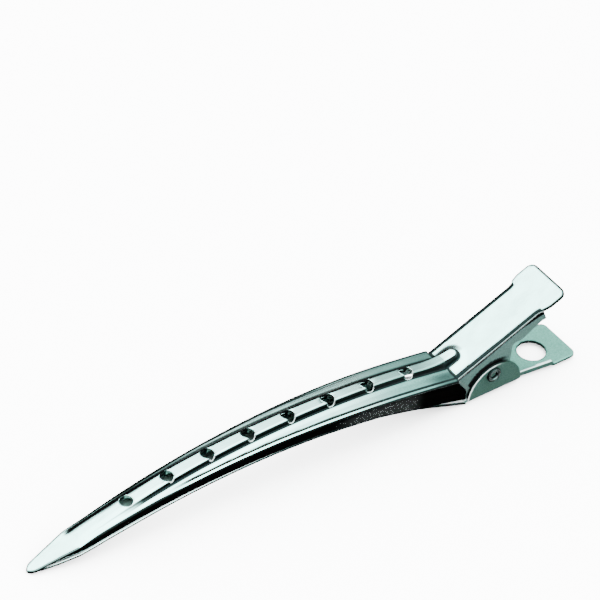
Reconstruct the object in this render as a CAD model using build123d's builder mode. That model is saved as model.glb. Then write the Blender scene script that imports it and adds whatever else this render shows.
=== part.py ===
"""Duckbill hair clip: two arched steel jaws on a tubular rivet, closed by a torsion spring.

Millimetres and degrees. +X runs from the tip to the handles, +Y is the far side, +Z is up.
The origin is on the table, in the middle of the clip's length and width.
"""

from math import asin, atan2, cos, degrees, radians, sin, tan
import os

from build123d import *

os.makedirs("parts", exist_ok=True)

# Overall sizes
overall_length = 95.0
handle_length = 21.7
sheet = 0.4

# Upper blade seen from the side: an arc from the bend, then a tangent arc down to the tip
bend_height = 5.47
bend_slope = -10.6
hinge_arc_radius = 151.0
hinge_arc_length = 42.0

# Upper blade, seen from above
blade_half_width = 3.78
blade_edge_round = 0.4
taper_start = 16.5
taper_radius = 650.0
shoulder_half_width = 2.05
shoulder_setback = 7.6
nose_half_width = 0.8
nose_corner = 0.85

# Bead along the upper blade and its row of holes
bead_height = 0.86
bead_half_at_hinge = 0.86
bead_half_at_tip = 1.2
bead_setback = 7.4
bead_ramp_length = 4.5
bead_on_lever = 2.4
hole_count = 8
hole_radius = 1.03
hole_pitch = 7.1
last_hole_to_bend = 7.1
hole_depth = 0.5

# Thumb lever
lever_angle = 24.7
lever_length = 19.55
lever_half_width = 3.3
lever_flare_start = 14.4
lever_flare_end = 16.9
lever_tab_half_width = 3.82
lever_corner = 1.1
lever_flange_length = 15.5
lever_flange_depth_rear = 2.1
lever_flange_depth_front = 2.65
lever_flange_knee = 11.0

# Hinge
pin_behind_bend = 6.25
pin_height = 3.95
inner_ear_radius = 3.3
flange_rear_behind_bend = 1.75
flange_rear_height = 3.0
rivet_radius = 0.9
rivet_bore_radius = 0.5
rivet_head_radius = 1.13
rivet_head_height = 0.42
rivet_lip_round = 0.17
running_gap = 0.08
seat_gap = 0.02

# Lower jaw: a base strip under the upper blade's edges, with a raised rib between them
closing_gap = 0.08
edge_gap = 0.14
lower_tip_setback = 1.1
strip_depth = 3.64
strip_sections = (
    # share of the strip's length from the hinge, share of strip_depth under the land
    (0.117, 1.0),
    (0.215, 0.775),
    (0.36, 0.635),
    (0.5, 0.582),
    (0.66, 0.549),
    (0.8, 0.527),
    (0.88, 0.489),
)
rib_height = 0.62
rib_side_gap = 0.35
rib_start_setback = 10.5
rib_end_before_bend = 6.0

# Lower handle
handle_rise = 1.5
ear_front_behind_bend = 2.2
ear_radius = 4.7
ear_centre_height = 0.7
ear_base_radius = 1.0
neck_half_width = 3.2
neck_behind_ears = 0.9
plate_half_width = 3.75
plate_flare_end = 4.2
plate_corner = 0.9
hang_hole_radius = 2.05
hang_hole_from_end = 5.0
lip_height = 0.62

# Torsion spring
wire_radius = 0.3
coil_radius = 1.55
coil_turns = 7
coil_pitch = 0.62
upper_leg_reach = 6.2
lower_leg_reach = 7.6
leg_gap = 0.05

# Places that follow from the sizes above
tip_x = -overall_length / 2
bend_x = overall_length / 2 - handle_length
lower_tip_x = tip_x + lower_tip_setback
shoulder_x = tip_x + shoulder_setback
ear_front_x = bend_x + ear_front_behind_bend
pin_x = bend_x + pin_behind_bend
strip_length = ear_front_x - lower_tip_x
wide = 2 * plate_half_width

# The two arcs of the land: the second is the one that brings the tip down on the lower jaw
joint_slope = bend_slope + degrees(hinge_arc_length / hinge_arc_radius)
joint_sin, joint_cos = sin(radians(joint_slope)), cos(radians(joint_slope))
hinge_arc_x = bend_x + hinge_arc_radius * sin(radians(bend_slope))
hinge_arc_z = bend_height - hinge_arc_radius * cos(radians(bend_slope))
joint_x = hinge_arc_x - hinge_arc_radius * joint_sin
joint_z = hinge_arc_z + hinge_arc_radius * joint_cos
run, fall = joint_x - lower_tip_x, joint_z - 2 * sheet - closing_gap
tip_arc_radius = (run**2 + fall**2) / (2 * (fall * joint_cos - run * joint_sin))
tip_arc_x = joint_x + tip_arc_radius * joint_sin
tip_arc_z = joint_z - tip_arc_radius * joint_cos


def slope_at_x(x):
    """Slope of the blade's land at x, in degrees, positive where it falls towards the tip."""
    if x > joint_x:
        return degrees(asin((hinge_arc_x - x) / hinge_arc_radius))
    return degrees(asin((tip_arc_x - x) / tip_arc_radius))


def slope_at_length(length):
    """Slope of the blade's land at a length along it from the bend."""
    if length < hinge_arc_length:
        return bend_slope + degrees(length / hinge_arc_radius)
    return joint_slope + degrees((length - hinge_arc_length) / tip_arc_radius)


def land(slope, lift=0.0):
    """Point (x, z) over the land where it has the given slope, lifted square to it."""
    if slope <= joint_slope:
        centre_x, centre_z, radius = hinge_arc_x, hinge_arc_z, hinge_arc_radius
    else:
        centre_x, centre_z, radius = tip_arc_x, tip_arc_z, tip_arc_radius
    angle = radians(slope)
    return centre_x - (radius + lift) * sin(angle), centre_z + (radius + lift) * cos(angle)


def land_arcs(from_slope, to_slope, lift=0.0):
    """Draw the land's two arcs, lifted square to them, from one slope to a steeper one."""
    for start, end in ((from_slope, joint_slope), (joint_slope, to_slope)):
        ThreePointArc(land(start, lift), land((start + end) / 2, lift), land(end, lift))


def strip_point(share, lift=0.0):
    """Point (x, z) of the base strip's underside at a share of its length, lifted."""
    x = ear_front_x - share * strip_length
    (first, _), (last, _) = strip_sections[0], strip_sections[-1]
    if share < first:
        return x, strip_point(first)[1] * share / first + lift
    if share > last:
        return x, strip_point(last)[1] * (1 - share) / (1 - last) + lift
    for (near, deep), (far, shallow) in zip(strip_sections, strip_sections[1:]):
        if near <= share <= far:
            depth = deep + (shallow - deep) * (share - near) / (far - near)
    return x, land(slope_at_x(x))[1] - depth * strip_depth + lift


def strip_points(lift=0.0, from_x=ear_front_x, to_x=lower_tip_x):
    """Points of the base strip's underside from the hinge to the tip, lifted."""
    start, end = (ear_front_x - from_x) / strip_length, (ear_front_x - to_x) / strip_length
    shares = [share for share, _ in strip_sections]
    shares += [(near + far) / 2 for near, far in zip(shares, shares[1:])]
    margin = sheet / strip_length
    inner = sorted(share for share in shares if start + margin < share < end - margin)
    return [strip_point(share, lift) for share in [start] + inner + [end]]


def blade_outline(rear_x, inset=0.0, tip_inset=0.0):
    """Draw the upper blade's outline from above, inset by a wall and short of the tip."""
    corner_x, nose_x = bend_x - taper_start, tip_x + tip_inset
    side, shoulder, nose = (
        blade_half_width - inset, shoulder_half_width - inset, nose_half_width - inset / 2,
    )
    narrowing = atan2(side - shoulder, corner_x - shoulder_x)
    reach = taper_radius * tan(narrowing / 2)
    arc_start = (corner_x + reach, side)
    arc_end = (corner_x - reach * cos(narrowing), side - reach * sin(narrowing))
    for sign in (1, -1):
        points = [
            (x, sign * y)
            for x, y in ((rear_x, side), arc_start, arc_end, (shoulder_x, shoulder), (nose_x, nose))
        ]
        Line(points[0], points[1])
        TangentArc(points[1], points[2], tangent=(-1, 0))
        Polyline(*points[2:])
    Line((nose_x, nose), (nose_x, -nose))
    Line((rear_x, side), (rear_x, -side))


def strip_of_width(half_at_hinge, half_at_tip, start_x, end_x):
    """Draw a tapering strip along X with round ends."""
    Polygon(
        (end_x, half_at_hinge),
        (start_x, half_at_tip),
        (start_x, -half_at_tip),
        (end_x, -half_at_hinge),
        align=None,
    )
    with Locations((start_x, 0)):
        Circle(half_at_tip)
    with Locations((end_x, 0)):
        Circle(half_at_hinge)


# Planes: the lever's top face and the lower handle's underside
lever_plane = Plane(
    origin=(bend_x, 0, bend_height),
    x_dir=(cos(radians(lever_angle)), 0, sin(radians(lever_angle))),
    z_dir=(-sin(radians(lever_angle)), 0, cos(radians(lever_angle))),
)
handle_plane = Plane(
    origin=(ear_front_x, 0, 0),
    x_dir=(cos(radians(handle_rise)), 0, sin(radians(handle_rise))),
    z_dir=(-sin(radians(handle_rise)), 0, cos(radians(handle_rise))),
)
tip_slope = slope_at_x(tip_x)
flange_rear_x = bend_x + flange_rear_behind_bend
flange_lift = sheet + edge_gap
flange_front_x = shoulder_x + 2 * sheet
bead_start_x = tip_x + bead_setback
inner_ear_y = lever_half_width
outer_ear_y = lever_half_width + running_gap + sheet


def on_lever(length, depth=0.0):
    """Point (x, z) at a length along the lever from the bend and a depth under its top."""
    angle = radians(lever_angle)
    return (
        bend_x + length * cos(angle) + depth * sin(angle),
        bend_height + length * sin(angle) - depth * cos(angle),
    )


# Upper jaw
with BuildPart() as blade_hollow:
    with BuildSketch(Plane.XZ):
        with BuildLine():
            land_arcs(bend_slope, tip_slope, -sheet)
            Polyline(
                land(tip_slope, -sheet),
                (tip_x, -wide),
                (flange_rear_x + wide, -wide),
                (flange_rear_x + wide, bend_height + wide),
                (bend_x, bend_height + wide),
                land(bend_slope, -sheet),
            )
        make_face()
    extrude(amount=wide, both=True)
    with BuildSketch(Plane.XY.offset(-wide)):
        with BuildLine():
            blade_outline(flange_rear_x + wide, inset=sheet, tip_inset=shoulder_setback / 2)
        make_face()
    extrude(amount=4 * wide, mode=Mode.INTERSECT)

with BuildPart() as bead_hollow:
    with BuildSketch(Plane.XZ):
        with BuildLine():
            roof = bead_height - sheet
            land_arcs(bend_slope, slope_at_x(bead_start_x + bead_ramp_length), roof)
            Polyline(
                land(slope_at_x(bead_start_x + bead_ramp_length), roof),
                land(slope_at_x(bead_start_x + sheet), -sheet),
                land(slope_at_x(bead_start_x + sheet), -2 * sheet),
                on_lever(0, 2 * sheet),
                land(bend_slope, roof),
            )
        make_face()
    extrude(amount=wide, both=True)
    with BuildSketch(Plane.XY.offset(-wide)):
        strip_of_width(
            bead_half_at_hinge - sheet, bead_half_at_tip - sheet,
            bead_start_x + bead_half_at_tip, bend_x,
        )
    extrude(amount=4 * wide, mode=Mode.INTERSECT)
    with BuildSketch(lever_plane.offset(-2 * sheet)):
        inner = bead_half_at_hinge - sheet
        strip_of_width(inner, inner, 0, bead_on_lever - bead_half_at_hinge)
    extrude(amount=bead_height + sheet)

with BuildPart() as bead:
    with BuildSketch(Plane.XZ):
        with BuildLine():
            land_arcs(bend_slope, slope_at_x(bead_start_x + bead_ramp_length), bead_height)
            Polyline(
                land(slope_at_x(bead_start_x + bead_ramp_length), bead_height),
                land(slope_at_x(bead_start_x), 0),
                land(slope_at_x(bead_start_x), -sheet / 2),
            )
            land_arcs(bend_slope, slope_at_x(bead_start_x), -sheet / 2)
            Line(land(bend_slope, -sheet / 2), land(bend_slope, bead_height))
        make_face()
    extrude(amount=wide, both=True)
    with BuildSketch(Plane.XY.offset(-wide)):
        strip_of_width(
            bead_half_at_hinge, bead_half_at_tip, bead_start_x + bead_half_at_tip, bend_x,
        )
    extrude(amount=4 * wide, mode=Mode.INTERSECT)
    with BuildSketch(lever_plane.offset(-sheet / 2)):
        strip_of_width(
            bead_half_at_hinge, bead_half_at_hinge, 0, bead_on_lever - bead_half_at_hinge,
        )
    extrude(amount=bead_height + sheet / 2)

with BuildPart() as upper_jaw:
    with BuildSketch(Plane.XZ):
        with BuildLine():
            land_arcs(bend_slope, tip_slope)
            Line(land(tip_slope), land(tip_slope, -sheet))
            ThreePointArc(
                land(tip_slope, -sheet),
                land(slope_at_x((tip_x + shoulder_x) / 2), -sheet),
                land(slope_at_x(shoulder_x), -sheet),
            )
            edge = strip_points(flange_lift, flange_rear_x, flange_front_x)
            Line(land(slope_at_x(shoulder_x), -sheet), edge[-1])
            Spline(*edge)
            Polyline(edge[0], (flange_rear_x, flange_rear_height), land(bend_slope))
        make_face()
    extrude(amount=wide, both=True)
    with BuildSketch(Plane.XY.offset(-wide)) as blade_plan:
        with BuildLine():
            blade_outline(flange_rear_x + sheet)
        make_face()
        nose = blade_plan.vertices().group_by(Axis.X)[0]
        fillet(nose, radius=nose_corner)
    extrude(amount=4 * wide, mode=Mode.INTERSECT)
    long_edges = [
        edge
        for edge in upper_jaw.edges()
        if abs(edge.center().Y) > shoulder_half_width
        and edge.center().X > shoulder_x
        and edge.center().Z > land(slope_at_x(edge.center().X))[1] - sheet / 2
        and edge.length > sheet
    ]
    fillet(long_edges, radius=blade_edge_round)
    add(blade_hollow.part, mode=Mode.SUBTRACT)

    with BuildSketch(lever_plane) as lever_plan:
        with BuildLine():
            half = (
                (-sheet / 2, lever_half_width),
                (lever_flare_start, lever_half_width),
                (lever_flare_end, lever_tab_half_width),
                (lever_length, lever_tab_half_width),
            )
            for side in (1, -1):
                points = [(x, side * y) for x, y in half]
                Line(points[0], points[1])
                Spline(points[1], points[2], tangents=((1, 0), (1, 0)))
                Line(points[2], points[3])
            Line(half[3], (half[3][0], -half[3][1]))
            Line(half[0], (half[0][0], -half[0][1]))
        make_face()
        fillet(lever_plan.vertices().group_by(Axis.X)[-1], radius=lever_corner)
    extrude(amount=-sheet)

    for side in (1, -1):
        with BuildSketch(Plane.XZ.offset(side * (inner_ear_y - sheet))):
            Polygon(
                on_lever(0, sheet / 2),
                on_lever(lever_flange_length, sheet / 2),
                on_lever(lever_flange_length, lever_flange_depth_rear),
                on_lever(lever_flange_knee, lever_flange_depth_front),
                (pin_x + inner_ear_radius, on_lever(lever_flange_knee, lever_flange_depth_front)[1]),
                (pin_x + inner_ear_radius, pin_height),
                (pin_x, pin_height - inner_ear_radius),
                *strip_points(flange_lift + sheet, flange_rear_x, flange_rear_x - 2 * sheet),
                align=None,
            )
            with Locations((pin_x, pin_height)):
                Circle(inner_ear_radius)
        extrude(amount=side * sheet)

    add(bead.part)
    add(bead_hollow.part, mode=Mode.SUBTRACT)
    for number in range(hole_count):
        slope = slope_at_length(last_hole_to_bend + number * hole_pitch)
        x, z = land(slope, bead_height + sheet)
        down_the_bead = Plane(
            origin=(x, 0, z),
            x_dir=(cos(radians(slope)), 0, sin(radians(slope))),
            z_dir=(-sin(radians(slope)), 0, cos(radians(slope))),
        )
        with BuildSketch(down_the_bead):
            Circle(hole_radius)
        extrude(amount=-sheet - hole_depth, mode=Mode.SUBTRACT)
    with BuildSketch(Plane.XZ.offset(-wide)):
        with Locations((pin_x, pin_height)):
            Circle(rivet_radius + running_gap)
    extrude(amount=2 * wide, mode=Mode.SUBTRACT)

# Lower jaw
with BuildPart() as rib_hollow:
    with BuildSketch(Plane.XZ):
        with BuildLine():
            rib_front_x = tip_x + rib_start_setback
            rib_rear_x = bend_x - rib_end_before_bend
            roof = strip_points(rib_height, rib_rear_x, rib_front_x)
            Spline(*roof)
            Polyline(roof[-1], (rib_front_x, -wide), (rib_rear_x, -wide), roof[0])
        make_face()
    extrude(amount=wide, both=True)
    with BuildSketch(Plane.XY.offset(-wide)):
        with BuildLine():
            blade_outline(bend_x, inset=2 * sheet + rib_side_gap, tip_inset=shoulder_setback / 2)
        make_face()
    extrude(amount=4 * wide, mode=Mode.INTERSECT)

with BuildPart() as rib:
    with BuildSketch(Plane.XZ):
        with BuildLine():
            top = strip_points(sheet + rib_height, rib_rear_x + sheet, rib_front_x - sheet)
            base = strip_points(sheet / 2, rib_rear_x + sheet, rib_front_x - sheet)
            Spline(*top)
            Spline(*base)
            Line(top[0], base[0])
            Line(top[-1], base[-1])
        make_face()
    extrude(amount=wide, both=True)
    with BuildSketch(Plane.XY.offset(-wide)):
        with BuildLine():
            blade_outline(bend_x, inset=sheet + rib_side_gap, tip_inset=shoulder_setback / 2)
        make_face()
    extrude(amount=4 * wide, mode=Mode.INTERSECT)

with BuildPart() as lower_ears:
    ear_length = 2 * ear_radius
    with BuildSketch(Plane(handle_plane.origin, x_dir=(0, 1, 0), z_dir=handle_plane.x_dir)) as trough:
        tall = ear_radius + ear_centre_height
        with Locations((0, tall / 2)):
            Rectangle(2 * outer_ear_y, tall)
        fillet(trough.vertices().group_by(Axis.Z)[0], radius=ear_base_radius)
        with Locations((0, sheet + tall / 2)):
            Rectangle(2 * (outer_ear_y - sheet), tall, mode=Mode.SUBTRACT)
    extrude(amount=ear_length)
    with BuildSketch(Plane(handle_plane.origin, x_dir=handle_plane.x_dir, z_dir=(0, -1, 0))):
        with Locations((ear_radius, ear_centre_height)):
            Circle(ear_radius)
        with Locations((ear_radius, ear_centre_height / 2)):
            Rectangle(ear_length, ear_centre_height)
    extrude(amount=wide, both=True, mode=Mode.INTERSECT)

with BuildPart() as lower_jaw:
    with BuildSketch(Plane.XZ):
        with BuildLine():
            under = strip_points()
            over = strip_points(sheet)
            Spline(*under)
            Spline(*over)
            Line(under[-1], over[-1])
            Line(under[0], over[0])
        make_face()
    extrude(amount=wide, both=True)
    with BuildSketch(Plane.XY.offset(-wide)) as strip_plan:
        with BuildLine():
            blade_outline(ear_front_x, tip_inset=lower_tip_setback)
        make_face()
        nose = strip_plan.vertices().group_by(Axis.X)[0]
        fillet(nose, radius=nose_corner)
    extrude(amount=4 * wide, mode=Mode.INTERSECT)
    add(rib.part)
    add(rib_hollow.part, mode=Mode.SUBTRACT)
    add(lower_ears.part)

    plate_end = (overall_length / 2 - ear_front_x) / cos(radians(handle_rise))
    with BuildSketch(handle_plane) as plate_plan:
        with BuildLine():
            half = (
                (ear_length - ear_radius / 2, neck_half_width),
                (ear_length + neck_behind_ears, neck_half_width),
                (plate_end - plate_flare_end, plate_half_width),
                (plate_end, plate_half_width),
            )
            for side in (1, -1):
                Polyline(*[(x, side * y) for x, y in half])
            Line(half[0], (half[0][0], -half[0][1]))
            Line(half[3], (half[3][0], -half[3][1]))
        make_face()
        fillet(plate_plan.vertices().group_by(Axis.X)[-1], radius=plate_corner)
        with Locations((plate_end - hang_hole_from_end, 0)):
            Circle(hang_hole_radius, mode=Mode.SUBTRACT)
    extrude(amount=sheet)
    with BuildSketch(handle_plane.offset(sheet / 2)):
        for side in (1, -1):
            Polygon(
                (half[1][0] - neck_behind_ears, side * neck_half_width),
                (half[1][0], side * neck_half_width),
                (half[2][0], side * plate_half_width),
                (half[2][0], side * (plate_half_width - sheet)),
                (half[1][0], side * (neck_half_width - sheet)),
                (half[1][0] - neck_behind_ears, side * (neck_half_width - sheet)),
                align=None,
            )
    extrude(amount=lip_height + sheet / 2)
    with BuildSketch(Plane.XZ.offset(-wide)):
        with Locations((pin_x, pin_height)):
            Circle(rivet_radius + seat_gap)
    extrude(amount=2 * wide, mode=Mode.SUBTRACT)

# Tubular rivet, turned about the hinge axis
pin_axis = Axis((pin_x, 0, pin_height), (0, 1, 0))
with BuildPart() as hinge_rivet:
    with BuildSketch(Plane.XY.offset(pin_height)):
        head_y = outer_ear_y + seat_gap
        outer_y = head_y + rivet_head_height
        with BuildLine():
            Polyline(
                (pin_x + rivet_bore_radius, -outer_y),
                (pin_x + rivet_bore_radius, outer_y),
                (pin_x + rivet_head_radius - rivet_lip_round, outer_y),
                (pin_x + rivet_head_radius, outer_y - rivet_lip_round),
                (pin_x + rivet_head_radius, head_y),
                (pin_x + rivet_radius, head_y),
                (pin_x + rivet_radius, -head_y),
                (pin_x + rivet_head_radius, -head_y),
                (pin_x + rivet_head_radius, -outer_y + rivet_lip_round),
                (pin_x + rivet_head_radius - rivet_lip_round, -outer_y),
                (pin_x + rivet_bore_radius, -outer_y),
            )
        make_face()
    revolve(axis=pin_axis)

# Torsion spring: a close-wound coil round the rivet, one leg under the lever, one on the handle
leg_under_lever = on_lever(
    pin_behind_bend * cos(radians(lever_angle)) + upper_leg_reach, sheet + wire_radius + leg_gap
)
handle_angle = radians(handle_rise)
leg_on_handle = (
    pin_x + lower_leg_reach,
    (pin_x + lower_leg_reach - ear_front_x) * tan(handle_angle)
    + (sheet + wire_radius + leg_gap) / cos(handle_angle),
)


def spring_leg(end, over_the_top, side_y):
    """Plane across a straight wire leaving the coil, and the wire's length to a point (x, z)."""
    run_x, run_z = end[0] - pin_x, end[1] - pin_height
    reach = (run_x**2 + run_z**2) ** 0.5
    leg_radius = coil_radius - wire_radius / 4
    turn = asin(leg_radius / reach)
    heading = atan2(run_z, run_x) + (-turn if over_the_top else turn)
    square = heading + radians(90 if over_the_top else -90)
    start_x = pin_x + leg_radius * cos(square) - wire_radius * cos(heading)
    start_z = pin_height + leg_radius * sin(square) - wire_radius * sin(heading)
    plane = Plane(origin=(start_x, side_y, start_z), z_dir=(cos(heading), 0, sin(heading)))
    return plane, (reach**2 - leg_radius**2) ** 0.5 + wire_radius


with BuildPart() as coil_spring:
    with BuildSketch(Plane.XY.offset(pin_height)):
        first_turn = -(coil_turns - 1) / 2 * coil_pitch
        for turn in range(coil_turns):
            with Locations((pin_x + coil_radius, first_turn + turn * coil_pitch)):
                Circle(wire_radius)
        with Locations((pin_x + coil_radius, 0)):
            Rectangle(wire_radius, (coil_turns - 1) * coil_pitch)
    revolve(axis=pin_axis)
    for end, over_the_top, side_y in (
        (leg_under_lever, True, first_turn),
        (leg_on_handle, False, -first_turn),
    ):
        plane, length = spring_leg(end, over_the_top, side_y)
        with BuildSketch(plane):
            Circle(wire_radius)
        extrude(amount=length)

upper_jaw.part.label = "upper_jaw"
lower_jaw.part.label = "lower_jaw"
hinge_rivet.part.label = "hinge_rivet"
coil_spring.part.label = "coil_spring"

export_step(upper_jaw.part, "parts/upper_jaw.step")
export_step(lower_jaw.part, "parts/lower_jaw.step")
export_step(hinge_rivet.part, "parts/hinge_rivet.step")
export_step(coil_spring.part, "parts/coil_spring.step")
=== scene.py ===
"""A duckbill hair clip of bright plated sheet steel, lying closed on a pale table.

Sizes are in millimetres and angles in degrees, in the frame's axes; meshes are written in metres.
"""

from __future__ import annotations

import logging
from dataclasses import dataclass, field
from enum import Enum
from math import asin, atan2, cos, hypot, pi, radians, sin, sqrt
from typing import Callable, Sequence

import bmesh
import bpy
import numpy as np
from mathutils import Matrix, Vector

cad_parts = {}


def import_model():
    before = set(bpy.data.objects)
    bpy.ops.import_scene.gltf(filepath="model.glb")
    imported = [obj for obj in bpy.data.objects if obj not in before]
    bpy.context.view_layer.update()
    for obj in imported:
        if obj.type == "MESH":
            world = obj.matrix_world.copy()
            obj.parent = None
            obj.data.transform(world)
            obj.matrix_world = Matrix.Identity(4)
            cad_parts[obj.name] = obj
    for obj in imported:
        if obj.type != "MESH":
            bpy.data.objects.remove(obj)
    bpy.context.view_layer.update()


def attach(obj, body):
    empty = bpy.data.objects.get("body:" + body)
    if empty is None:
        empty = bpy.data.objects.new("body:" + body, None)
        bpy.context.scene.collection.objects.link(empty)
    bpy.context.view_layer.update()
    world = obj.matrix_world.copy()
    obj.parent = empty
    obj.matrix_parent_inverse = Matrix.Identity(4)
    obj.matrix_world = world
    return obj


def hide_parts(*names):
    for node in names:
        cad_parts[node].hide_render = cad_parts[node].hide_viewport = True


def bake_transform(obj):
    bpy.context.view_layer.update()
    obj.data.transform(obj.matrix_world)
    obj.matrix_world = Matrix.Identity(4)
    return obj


MM = 0.001
DULL = "dull"
# attribute that carries painted light: painted shade below 0, a painted highlight above 0
PAINTED_LIGHT = "tone"
SHARP_ANGLE = 32.0
LOG = logging.getLogger("duckbill")

Point = tuple[float, float, float]
Section = tuple[list[Point], list[Point]]
Half = list[tuple[float, float, float]]
Paint = tuple[float, float]
Tint = tuple[float, float, float]
Rows = tuple[tuple[float, float], ...]
Socket = bpy.types.NodeSocket


class Body(Enum):
    """The bodies that a piece can ride on."""

    UPPER = "upper"
    LOWER = "lower"


class Slot(Enum):
    """The record's material slots."""

    UPPER = "upper_chrome"
    LOWER = "lower_chrome"
    RIVET = "rivet_chrome"
    SPRING = "spring_steel"


def ease(value: float) -> float:
    """Smooth step of a value, held from 0 to 1."""
    value = min(1.0, max(0.0, value))
    return value * value * (3.0 - 2.0 * value)


@dataclass(frozen=True)
class Fade:
    """A smooth change from 0 to 1: where it starts and how far it takes, negative for backwards."""

    start: float
    length: float

    def at(self, value: float) -> float:
        """Share at a value."""
        return ease((value - self.start) / self.length)


def reading(rows: Sequence[tuple[float, float]], place: float) -> float:
    """Value at a place, read between rows of (place, value)."""
    return float(np.interp(place, *zip(*rows)))


def span(start: float, end: float, step: float) -> list[float]:
    """Values from start up to, not including, end, about a step apart."""
    count = max(1, round(abs(end - start) / step))
    return [start + (end - start) * i / count for i in range(count)]


def spans(start: float, rows: Sequence[tuple[float, float]]) -> list[float]:
    """Values from a start on, by rows of (up to where, step).

    Args:
        start: The first value.
        rows: Rows of (up to where, step), in order.

    Returns:
        The values, without the last row's end.
    """
    values: list[float] = []
    for end, step in rows:
        values += span(start, end, step)
        start = end
    return values


def sheet_loft(mesh: bmesh.types.BMesh, sections: Sequence[Section]) -> None:
    """Add a closed sheet that runs through sections, each an outer and an inner row of points.

    Args:
        mesh: The mesh that the sheet is added to.
        sections: Rows of as many outer as inner points, in millimetres.
    """
    rows = []
    for outer, inner in sections:
        rows.append(
            [[mesh.verts.new(Vector(p) * MM) for p in row] for row in (outer, inner)]
        )
    faces = []
    for (outer, inner), (next_outer, next_inner) in zip(rows, rows[1:]):
        for near, far, flip in ((outer, next_outer, False), (inner, next_inner, True)):
            for i in range(len(near) - 1):
                quad = [near[i], near[i + 1], far[i + 1], far[i]]
                faces.append(quad[::-1] if flip else quad)
        faces.append([inner[0], outer[0], next_outer[0], next_inner[0]])
        faces.append([outer[-1], inner[-1], next_inner[-1], next_outer[-1]])
    for (outer, inner), flip in ((rows[0], True), (rows[-1], False)):
        for i in range(len(outer) - 1):
            quad = [outer[i], outer[i + 1], inner[i + 1], inner[i]]
            faces.append(quad[::-1] if flip else quad)
    made = [mesh.faces.new(quad) for quad in faces]
    bmesh.ops.recalc_face_normals(mesh, faces=made)


def join_rings(
    mesh: bmesh.types.BMesh, rings: Sequence[Sequence[bmesh.types.BMVert]]
) -> None:
    """Join closed rings of vertices, each to the next and the last to the first.

    Args:
        mesh: The mesh that holds the rings.
        rings: Rings of as many vertices each.
    """
    made = []
    for here, there in zip(rings, [*rings[1:], rings[0]]):
        for j in range(len(here)):
            k = (j + 1) % len(here)
            made.append(mesh.faces.new([here[j], here[k], there[k], there[j]]))
    bmesh.ops.recalc_face_normals(mesh, faces=made)


def both_sides(half: Half) -> Half:
    """Rows of (y, ...) from the middle out, mirrored to run from -y to +y."""
    return [(-row[0],) + tuple(row[1:]) for row in reversed(half[1:])] + list(half)


def finished(
    name: str, mesh: bmesh.types.BMesh, sharp: float = SHARP_ANGLE
) -> bpy.types.Object:
    """Turn a mesh under construction into an object, smooth but for its sharp edges.

    Args:
        name: The object's name.
        mesh: The mesh, in metres, which is freed.
        sharp: Angle above which an edge stays sharp.

    Returns:
        The new object, at the origin.
    """
    data = bpy.data.meshes.new(name)
    mesh.to_mesh(data)
    mesh.free()
    piece = bpy.data.objects.new(name, data)
    bpy.context.scene.collection.objects.link(piece)
    smooth(piece, sharp)
    return piece


def smooth(piece: bpy.types.Object, sharp: float) -> None:
    """Shade a piece smooth and mark the edges above an angle as sharp."""
    piece.data.shade_smooth()
    piece.data.set_sharp_from_angle(angle=radians(sharp))


def paint(
    piece: bpy.types.Object, skin: Callable[[float, float, float], tuple[float, float]]
) -> None:
    """Write the two attributes that the plated finish reads at each vertex of a piece.

    Args:
        piece: The piece, with its final mesh.
        skin: Rule from a vertex's x, y, z in mm to how dull the skin is there, 0 to 1, and the
        light painted there, from -1, painted shade, to 1, a painted highlight.
    """
    values = [skin(*(vertex.co / MM)) for vertex in piece.data.vertices]
    for name, column in zip((DULL, PAINTED_LIGHT), zip(*values)):
        layer = piece.data.attributes.new(name, "FLOAT", "POINT")
        layer.data.foreach_set("value", column)


def add_input(tree: bpy.types.NodeTree, name: str, kind: str, value: float | int) -> str:
    """Add a named input to a node tree and return the identifier of its socket."""
    socket = tree.interface.new_socket(name=name, in_out="INPUT", socket_type=kind)
    socket.default_value = value
    return socket.identifier


def new_geometry_tree(name: str) -> tuple[bpy.types.NodeTree, bpy.types.Node, bpy.types.Node]:
    """Make a geometry node tree with a geometry input and output.

    Args:
        name: The tree's name.

    Returns:
        The tree, its input node and its output node.
    """
    tree = bpy.data.node_groups.new(name, "GeometryNodeTree")
    for way in ("INPUT", "OUTPUT"):
        tree.interface.new_socket(name="Geometry", in_out=way, socket_type="NodeSocketGeometry")
    return tree, tree.nodes.new("NodeGroupInput"), tree.nodes.new("NodeGroupOutput")


def feed(node: bpy.types.Node, inputs: dict[str | int, object]) -> None:
    """Set inputs of a node to values, or link them to sockets.

    Args:
        node: The node.
        inputs: Value or socket of each input, by its name or number.
    """
    for name, value in inputs.items():
        if isinstance(value, Socket):
            node.id_data.links.new(value, node.inputs[name])
        else:
            node.inputs[name].default_value = value


def add_node(
    tree: bpy.types.NodeTree, kind: str, inputs: dict[str | int, object], **settings: object
) -> bpy.types.Node:
    """Add a node to a tree.

    Args:
        tree: The tree.
        kind: The node's type.
        inputs: Value or socket of each input, by its name or number.
        settings: The node's own settings.

    Returns:
        The node.
    """
    node = tree.nodes.new(kind)
    for name, value in settings.items():
        setattr(node, name, value)
    feed(node, inputs)
    return node


def mixed(tree: bpy.types.NodeTree, share: Socket, low: object, high: object) -> Socket:
    """Mix two colours, each given as a socket or as red, green and blue.

    Args:
        tree: The node tree.
        share: Share of the second colour.
        low: The first colour.
        high: The second colour.

    Returns:
        The socket that carries the mix.
    """
    low, high = ((*c, 1.0) if isinstance(c, tuple) else c for c in (low, high))
    inputs = {"A": low, "B": high, "Factor": share}
    return add_node(tree, "ShaderNodeMix", inputs, data_type="RGBA").outputs["Result"]


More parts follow.
